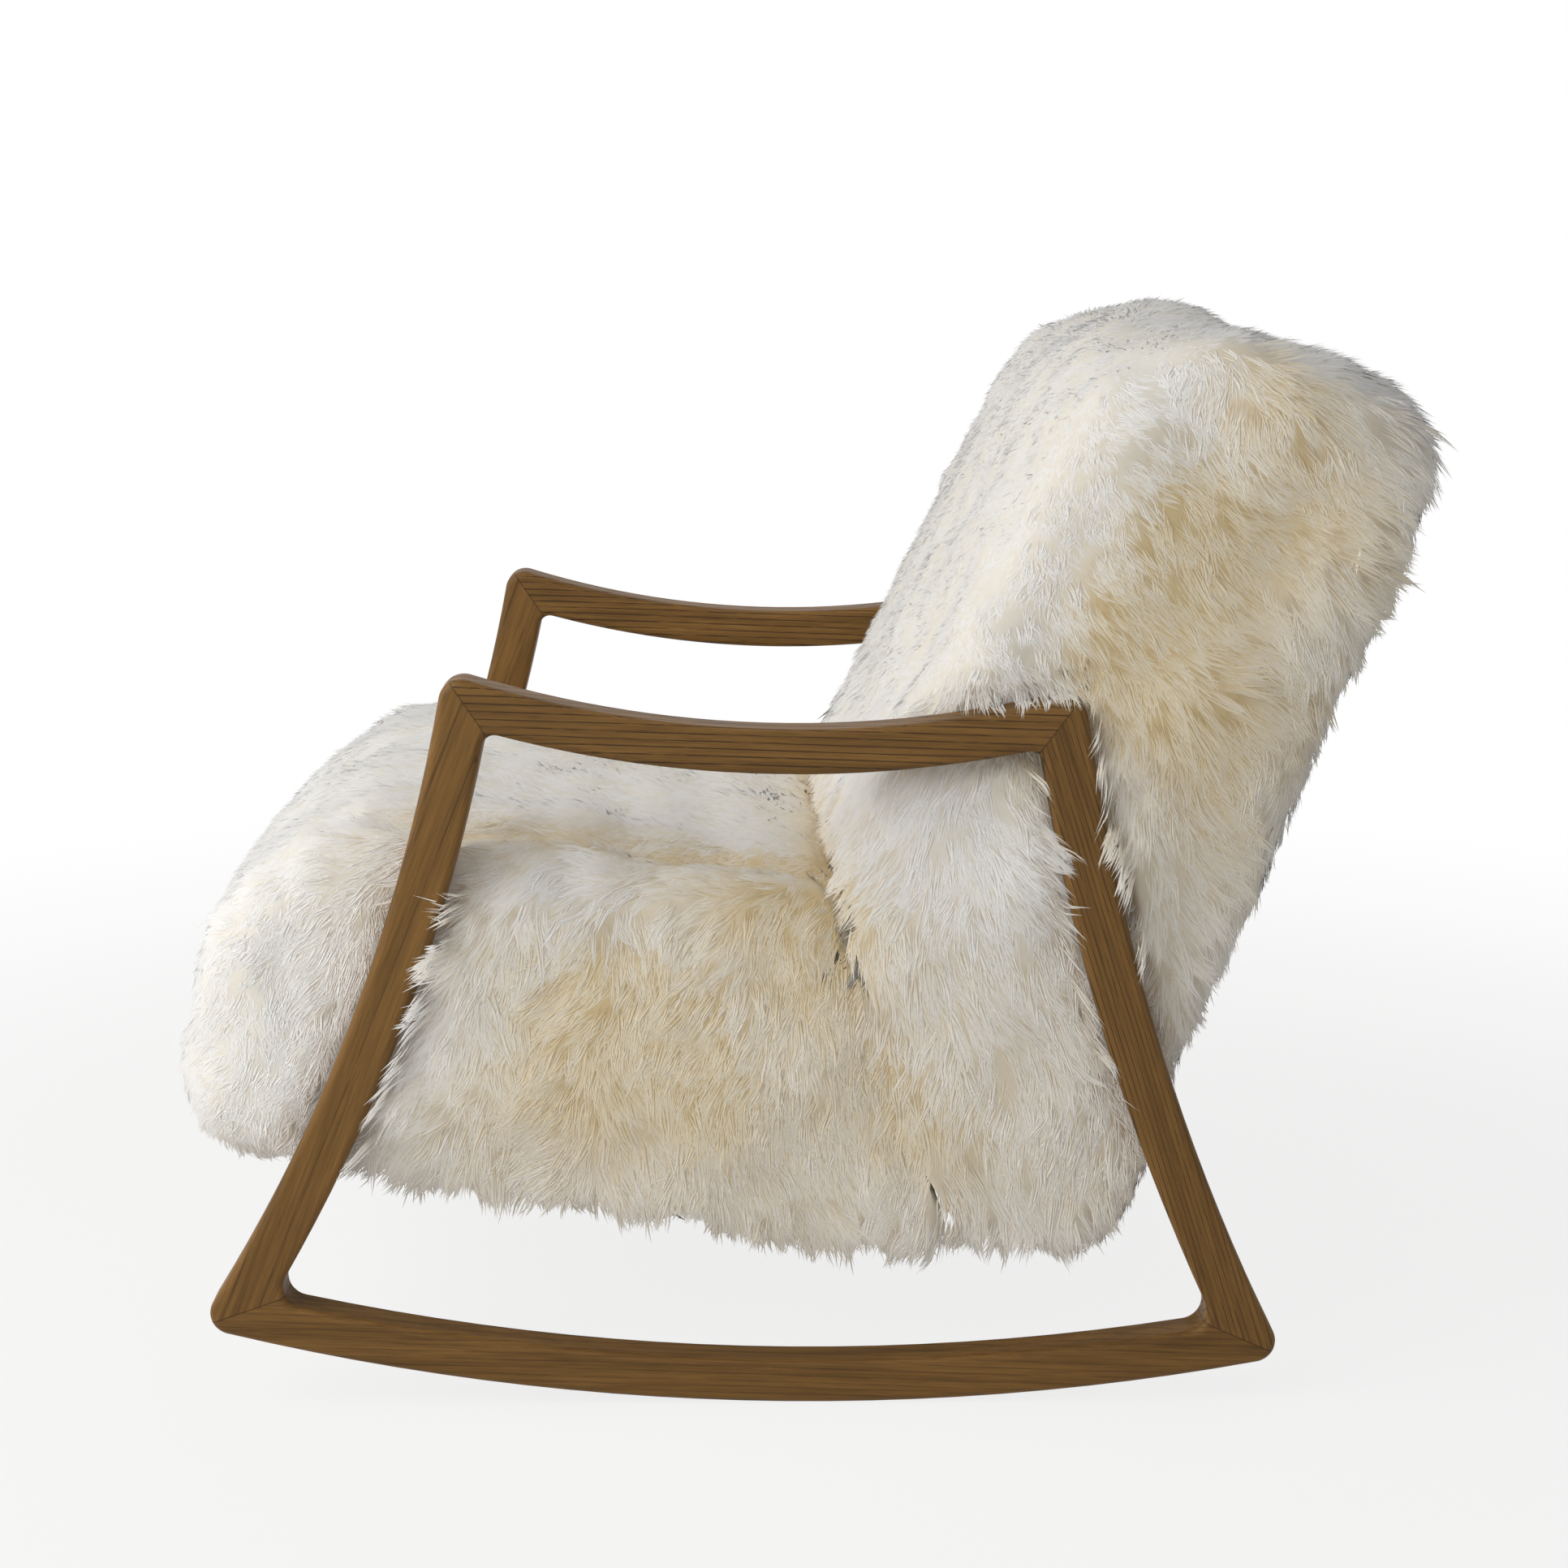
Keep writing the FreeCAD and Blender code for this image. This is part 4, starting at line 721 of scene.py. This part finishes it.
def growWool(name, skin, area, pick, comb, look, seed):
    # clumps of tapered strands: each follows an arc from the skin's normal towards the combed direction
    draw = np.random.default_rng(seed)
    points, leans = skin
    clumps, rings, count = look["clumps"], look["rings"], look["strands"]
    chosen = np.flatnonzero(pick)
    weight = area[chosen] / area[chosen].sum()
    face = chosen[np.searchsorted(np.cumsum(weight), draw.random(clumps)).clip(0, len(chosen) - 1)]
    share = draw.dirichlet((1, 1, 1), clumps)[..., None]
    root = (points[face] * share).sum(axis=1)
    y, z = root[:, 1], root[:, 2]
    normal = unit((leans[face] * share).sum(axis=1))
    spill = draw.random(clumps) < strandForm["overShare"]  # tufts that lean over the legs
    lean = 0.8 * spill * smooth(0.4, 0.8, np.abs(normal[:, 0]))
    way = comb(root, normal) + lean[:, None] * towardsLegs(y, z)
    flow = way - (way * normal).sum(axis=1, keepdims=True) * normal
    sure = smooth(0.1, 0.7, np.linalg.norm(flow, axis=1) / np.linalg.norm(way, axis=1))[:, None]
    flow = unit(flow)
    across = np.cross(normal, flow)
    swing = np.radians(24 * softNoise(root, 0.09, 51) + 13 * softNoise(root, 0.04, 52)
                       + draw.normal(0, 7, clumps))[:, None] * look["swing"]
    swing = swing + (1 - sure) * draw.normal(0, 1.1, (clumps, 1))  # no parting where the comb turns
    flow, across = turnPair(flow, across, swing)
    steps = np.linspace(0, 1, strandForm["steps"] + 1)
    low, high = look["lay"]
    lift = 8 * softNoise(root, 0.05, 53)[:, None] + draw.normal(0, 4, (clumps, 1))
    low, high = low + lift * 0.6, high + lift * 0.6
    bend = np.radians(low + (high - low) * steps ** 0.65)
    heading = normal[:, None] * np.cos(bend)[..., None] + flow[:, None] * np.sin(bend)[..., None]
    length = look["length"] * draw.uniform(0.75, 1.15, clumps) * (1 + 0.14 * softNoise(root, 0.1, 54))
    hem = np.maximum(0.087 + 0.153 * (0.141 - y), 0.09)  # height of the lower edge
    length *= 0.6 + 0.4 * smooth(0.0, 0.07, z - hem)
    length *= 0.5 + 0.5 * smooth(-0.42, -0.33, y)  # short on the front roll
    length *= 1 - 0.5 * smooth(0.06, 0.0, -pastLine("rearEdge", y, z))  # by the rear edge
    length *= 1 - 0.5 * plushShare(root)  # on the plush front of the back
    length *= 0.5 + 0.5 * sure[:, 0]  # and where the comb turns
    travel = np.cumsum((heading[:, 1:] + heading[:, :-1]) / 2, axis=1) / strandForm["steps"]
    travel = np.concatenate((np.zeros((clumps, 1, 3)), travel), axis=1)
    picked = np.linspace(0, strandForm["steps"], rings + 2).round().astype(int)
    travel, ts = travel[:, picked], steps[picked]
    phase = draw.uniform(0, 2 * math.pi, clumps)
    wave = strandForm["curl"] * np.sin(2 * math.pi * strandForm["curlTurns"] * ts + phase[:, None]) * ts
    # strands of a clump start round its root and gather at its tip
    spin = draw.uniform(0, 2 * math.pi, (clumps, count, 1))
    away = look["spread"] * np.sqrt(draw.random((clumps, count, 1)))
    offset = flow[:, None] * np.cos(spin) * away + across[:, None] * np.sin(spin) * away
    own = draw.uniform(0.7, 1.12, (clumps, count, 1, 1))
    gather = 1 - look["gather"] * ts[:, None]
    path = (root[:, None, None] + travel[:, None] * length[:, None, None, None] * own
            + wave[:, None, :, None] * across[:, None, None] + offset[:, :, None] * gather)
    path = path + draw.normal(0, strandForm["stray"], (clumps, count, 1, 3)) * (ts ** 1.5)[:, None]
    path = passWood(path.reshape(-1, rings + 2, 3), count, spill, draw)
    up = np.repeat(normal, count, axis=0)[:, None]
    # beside the wood the skin dips, and its wool is lit as if it faced outwards
    trough = 0.75 * smooth(0.045, 0.0, ringGap(y, z)) * smooth(0.2, 0.6, np.abs(normal[:, 0]))
    outward = np.stack((np.sign(root[:, 0]), 0 * trough, 0.15 + 0 * trough), axis=-1)
    shade = unit(normal * (1 - trough)[:, None] + outward * trough[:, None])
    shade = np.repeat(shade, count, axis=0)[:, None]
    # three-sided spindle, pointed at both ends, with its ridge facing outwards
    tangent = unit(np.gradient(path, axis=1))[:, 1:-1]
    ridge = unit(up - (up * tangent).sum(axis=-1, keepdims=True) * tangent)
    edge = np.cross(tangent, ridge)
    roll = draw.normal(0, strandForm["roll"], (len(path), 1, 1))
    ridge, edge = turnPair(ridge, edge, roll)
    wide = look["width"] * draw.uniform(0.65, 1.35, (len(path), 1)) * (1.12 - 0.3 * ts[1:-1])
    angle = np.radians((90, 210, 330))
    body = (edge[:, :, None] * (np.cos(angle) * wide[..., None])[..., None]
            + ridge[:, :, None] * (np.sin(angle) * look["flat"] * wide[..., None])[..., None])
    rims = (path[:, 1:-1, None] + body).reshape(len(path), -1, 3)
    verts = np.concatenate((path[:, :1], rims, path[:, -1:]), axis=1)
    # shading leans on the skin's normal, because light soaks through wool and doesn't stop at each strand
    facing = np.concatenate((shade, unit(body).reshape(len(path), -1, 3), shade), axis=1)
    soft = unit(look["skinShare"] * shade + (1 - look["skinShare"]) * facing)
    along = np.concatenate(((0.0,), np.repeat(ts[1:-1], 3), (1.0,)))
    tints = np.clip(np.repeat(tanAndShadeShare(root, normal), count) + draw.normal(0, look["fleck"], len(path)), 0, 1)
    return strandMesh(name, verts, soft, along, tints, rings)


def strandMesh(name, verts, soft, along, tints, rings):
    # the same faces for every strand: three at the root, quads between its rings, three at the tip
    strands, size = verts.shape[:2]
    loop, laneU, laneV = [], [], []
    for i in range(3):
        k = (i + 1) % 3
        loop += [0, 1 + i, 1 + k]
        laneU += [(i + 0.5) / 3, i / 3, (i + 1) / 3]
        laneV += [0.0, along[1], along[1]]
    for r in range(rings - 1):
        low, high = along[1 + 3 * r], along[4 + 3 * r]
        for i in range(3):
            k = (i + 1) % 3
            loop += [1 + 3 * r + i, 4 + 3 * r + i, 4 + 3 * r + k, 1 + 3 * r + k]
            laneU += [i / 3, i / 3, (i + 1) / 3, (i + 1) / 3]
            laneV += [low, high, high, low]
    for i in range(3):
        loop += [size - 4 + i, size - 1, size - 4 + (i + 1) % 3]
        laneU += [i / 3, (i + 0.5) / 3, (i + 1) / 3]
        laneV += [along[-2], 1.0, along[-2]]
    loop, laneU, laneV = np.array(loop), np.array(laneU), np.array(laneV)
    loops = (loop[None] + size * np.arange(strands)[:, None]).reshape(-1)
    totals = np.tile([3] * 3 + [4] * (3 * rings - 3) + [3] * 3, strands)
    mesh = bpy.data.meshes.new(name)
    mesh.vertices.add(strands * size)
    mesh.vertices.foreach_set("co", verts.reshape(-1).astype(np.float32))
    mesh.loops.add(len(loops))
    mesh.loops.foreach_set("vertex_index", loops.astype(np.int32))
    mesh.polygons.add(len(totals))
    mesh.polygons.foreach_set("loop_start", np.concatenate(((0,), np.cumsum(totals)[:-1])).astype(np.int32))
    mesh.polygons.foreach_set("use_smooth", np.ones(len(totals), dtype=bool))
    cell, rim = woolLook["cells"], woolLook["rim"]
    column, row = np.arange(strands) % cell, np.arange(strands) // cell
    lanes = mesh.uv_layers.new(name="OFBake")
    place = np.stack(((column[:, None] + rim + (1 - 2 * rim) * laneU) / cell,
                      (row[:, None] + rim + (1 - 2 * rim) * laneV) / cell), axis=-1)
    lanes.data.foreach_set("uv", place.reshape(-1).astype(np.float32))
    for label, values in (("alongLock", np.tile(along, strands)), ("lockTint", np.repeat(tints, size))):
        mesh.attributes.new(label, "FLOAT", "POINT").data.foreach_set("value", values.astype(np.float32))
    mesh.update(calc_edges=True)
    mesh.normals_split_custom_set_from_vertices(soft.reshape(-1, 3).tolist())
    mesh.materials.append(wool)
    piece = placed(name, mesh)
    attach(piece, "root")
    return piece


for pelt, regions, comb, isSeat in ((seatPelt, seatRegions, combSeat, True),
                                    (backPelt, backRegions, combBack, False)):
    points, leans, index = readSkin(pelt)
    skin = points[index], leans[index]
    # the pelt takes the same tint as its wool, painted shade included
    tints = tanAndShadeShare(points, leans).astype(np.float32)
    pelt.data.attributes.new("lockTint", "FLOAT", "POINT").data.foreach_set("value", tints)
    a, b, c = np.moveaxis(skin[0], 1, 0)
    area = np.linalg.norm(np.cross(b - a, c - a), axis=1) / 2
    region = regionOf(skin[0].mean(axis=1), unit(skin[1].mean(axis=1)), isSeat)
    for k, (name, look) in enumerate(regions.items()):
        pick = region == look["pick"]
        fleece = growWool(name, skin, area, pick, comb, look, 100 + k + 50 * isSeat)
        # fine wool lets light through: the pelt below casts the shadow and the wool doesn't darken itself
        fleece.visible_shadow = fleece.visible_diffuse = False
        print(name, "on", round(float(area[pick].sum()), 3), "square metres")

# Dust cloth under the seat and the back: thin black non-woven sheet, tacked tight under the rails
dustLook = {
    "tones": ("#1E1D1C", "#2C2B29"), "grain": 1.4, "stretch": (1, 1, 1), "detail": 4.0, "bump": 0.6,
    "rough": 0.9, "relief": 0.0004,
    "thick": 0.0012, "cadThick": 0.0015, "sag": 0.004, "grid": (41, 49),
}
dustCloth = grained("Non-woven dust cloth", dustLook)


def dustSheet(name, node, tilt):
    # flat cloth at the middle of its CAD sheet, sagging a little away from its tacked rim
    low, high = (np.array(corner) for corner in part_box(node))
    half = (high[0] - low[0]) / 2
    run = (high[1] - low[1]) / math.cos(tilt) - abs(dustLook["cadThick"] * math.tan(tilt))
    wide, deep = dustLook["grid"]
    s, t = np.meshgrid(np.linspace(-1, 1, wide), np.linspace(-1, 1, deep), indexing="ij")
    sag = dustLook["sag"] * (1 - s ** 4) * (1 - t ** 4)
    middle = (low + high) / 2
    along = np.array([0, math.cos(tilt), math.sin(tilt)])
    down = np.array([0, math.sin(tilt), -math.cos(tilt)])
    points = (middle + s[..., None] * np.array([half, 0, 0]) + t[..., None] * along * run / 2
              + sag[..., None] * down)
    i, j = np.meshgrid(np.arange(wide - 1), np.arange(deep - 1), indexing="ij")
    corner = i * deep + j
    quads = np.stack((corner, corner + 1, corner + deep + 1, corner + deep), axis=-1).reshape(-1, 4)
    mesh = bpy.data.meshes.new(name)
    mesh.from_pydata(points.reshape(-1, 3).tolist(), [], quads.tolist())
    mesh.polygons.foreach_set("use_smooth", np.ones(len(mesh.polygons), dtype=bool))
    mesh.materials.append(dustCloth)
    piece = placed(name, mesh)
    wall = piece.modifiers.new("cloth", "SOLIDIFY")
    wall.thickness, wall.offset = dustLook["thick"], 0
    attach(piece, "root")
    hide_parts(node)


dustSheet("seat_dust_sheet", "dust_cover", -math.radians(8))
dustSheet("back_dust_sheet", "back_dust_cover", -math.radians(22))
print("dust sheets: 2")

# Studio: a pale floor that keeps the shadow, soft light from the front and above, white behind
studio = {
    "floor": "#D6D4D0", "floorHalf": 9, "floorWhite": 0.82, "fade": (0.7, 2.2),
    "frontSky": 0.43, "rearSky": 0.27, "skySpan": (-0.8, 0.9),
    # place, target, size and power
    "lamps": (((1.0, -2.3, 2.0), (0.0, -0.15, 0.40), 2.2, 41.0),
              ((2.3, -1.7, 1.3), (0.2, -0.35, 0.35), 1.6, 14.0)),
}
ground = bpy.data.meshes.new("studio_floor")
far = studio["floorHalf"]
ground.from_pydata([(-far, -far, 0), (far, -far, 0), (far, far, 0), (-far, far, 0)], [], [(0, 1, 2, 3)])
floor = placed("studio_floor", ground)


def seenDirectly(tree):
    # 1 for a ray of the camera, mirrored or through glass too, and 0 for light on the chair
    rays = addNode(tree, "LightPath").outputs
    direct = addNode(tree, "Math", {0: rays["Is Camera Ray"], 1: rays["Is Glossy Ray"]},
                     operation="MAXIMUM").outputs[0]
    return addNode(tree, "Math", {0: direct, 1: rays["Is Transmission Ray"]}, operation="MAXIMUM").outputs[0]


paper, tree = newMaterial("Studio paper")
where = addNode(tree, "TexCoord").outputs["Object"]
reach = addNode(tree, "VectorMath", {0: where}, operation="LENGTH").outputs["Value"]
fade = addNode(tree, "MapRange", {
    "Value": reach, "From Min": studio["fade"][0], "From Max": studio["fade"][1],
    "To Min": studio["floorWhite"], "To Max": 1.0},
    interpolation_type="SMOOTHSTEP").outputs["Result"]
share = addNode(tree, "Math", {0: seenDirectly(tree), 1: fade}, operation="MULTIPLY").outputs[0]
matt = addNode(tree, "BsdfPrincipled", {"Base Color": tone(studio["floor"]), "Roughness": 0.9})
glow = addNode(tree, "Emission", {"Color": white, "Strength": 1.0})
both = addNode(tree, "MixShader", {0: share, 1: matt.outputs[0], 2: glow.outputs[0]})
addNode(tree, "OutputMaterial", {"Surface": both.outputs[0]})
ground.materials.append(paper)

world = bpy.data.worlds.new("Studio white")
bpy.context.scene.world = world
world.use_nodes = True
tree = world.node_tree
tree.nodes.clear()
aim = addNode(tree, "TexCoord").outputs["Generated"]
depth = addNode(tree, "SeparateXYZ", {0: aim}).outputs["Y"]
soft = addNode(tree, "MapRange", {
    "Value": depth, "From Min": studio["skySpan"][0], "From Max": studio["skySpan"][1],
    "To Min": studio["frontSky"], "To Max": studio["rearSky"]})
level = addNode(tree, "MapRange", {
    "Value": seenDirectly(tree), "To Min": soft.outputs["Result"], "To Max": 1.0})
sky = addNode(tree, "Background", {"Color": white, "Strength": level.outputs["Result"]})
addNode(tree, "OutputWorld", {"Surface": sky.outputs[0]})


def aimed(place, target):
    # turn and place of something that looks from place to target, level with the floor
    back = unit(np.array(place) - np.array(target))
    right = unit(np.cross((0, 0, 1.0), back))
    upward = np.cross(back, right)
    turned = np.eye(4)
    turned[:3] = np.stack((right, upward, back, place), axis=1)
    return Matrix(turned.tolist())


for k, (place, target, size, power) in enumerate(studio["lamps"]):
    lamp = bpy.data.lights.new(f"softbox_{k + 1}", "AREA")
    lamp.shape, lamp.size, lamp.energy = "SQUARE", size, power
    placed(lamp.name, lamp).matrix_world = aimed(place, target)

# Camera at the photograph's viewing angle: yaw and pitch from the side of the chair
view = {"place": (2.581, -0.033, 0.974), "yaw": 0.69, "pitch": 11.55, "lens": 67.08}
yaw, pitch = math.radians(view["yaw"]), math.radians(view["pitch"])
ahead = np.array([-math.cos(yaw) * math.cos(pitch), math.sin(yaw) * math.cos(pitch), -math.sin(pitch)])
cameraData = bpy.data.cameras.new("camera")
cameraData.lens, cameraData.sensor_width, cameraData.clip_end = view["lens"], 36.0, 60.0
camera = placed("camera", cameraData)
camera.matrix_world = aimed(view["place"], np.array(view["place"]) + ahead)
bpy.context.scene.camera = camera
bpy.context.scene.view_settings.view_transform = "Standard"
print("studio and camera ready")

bpy.context.view_layer.update()
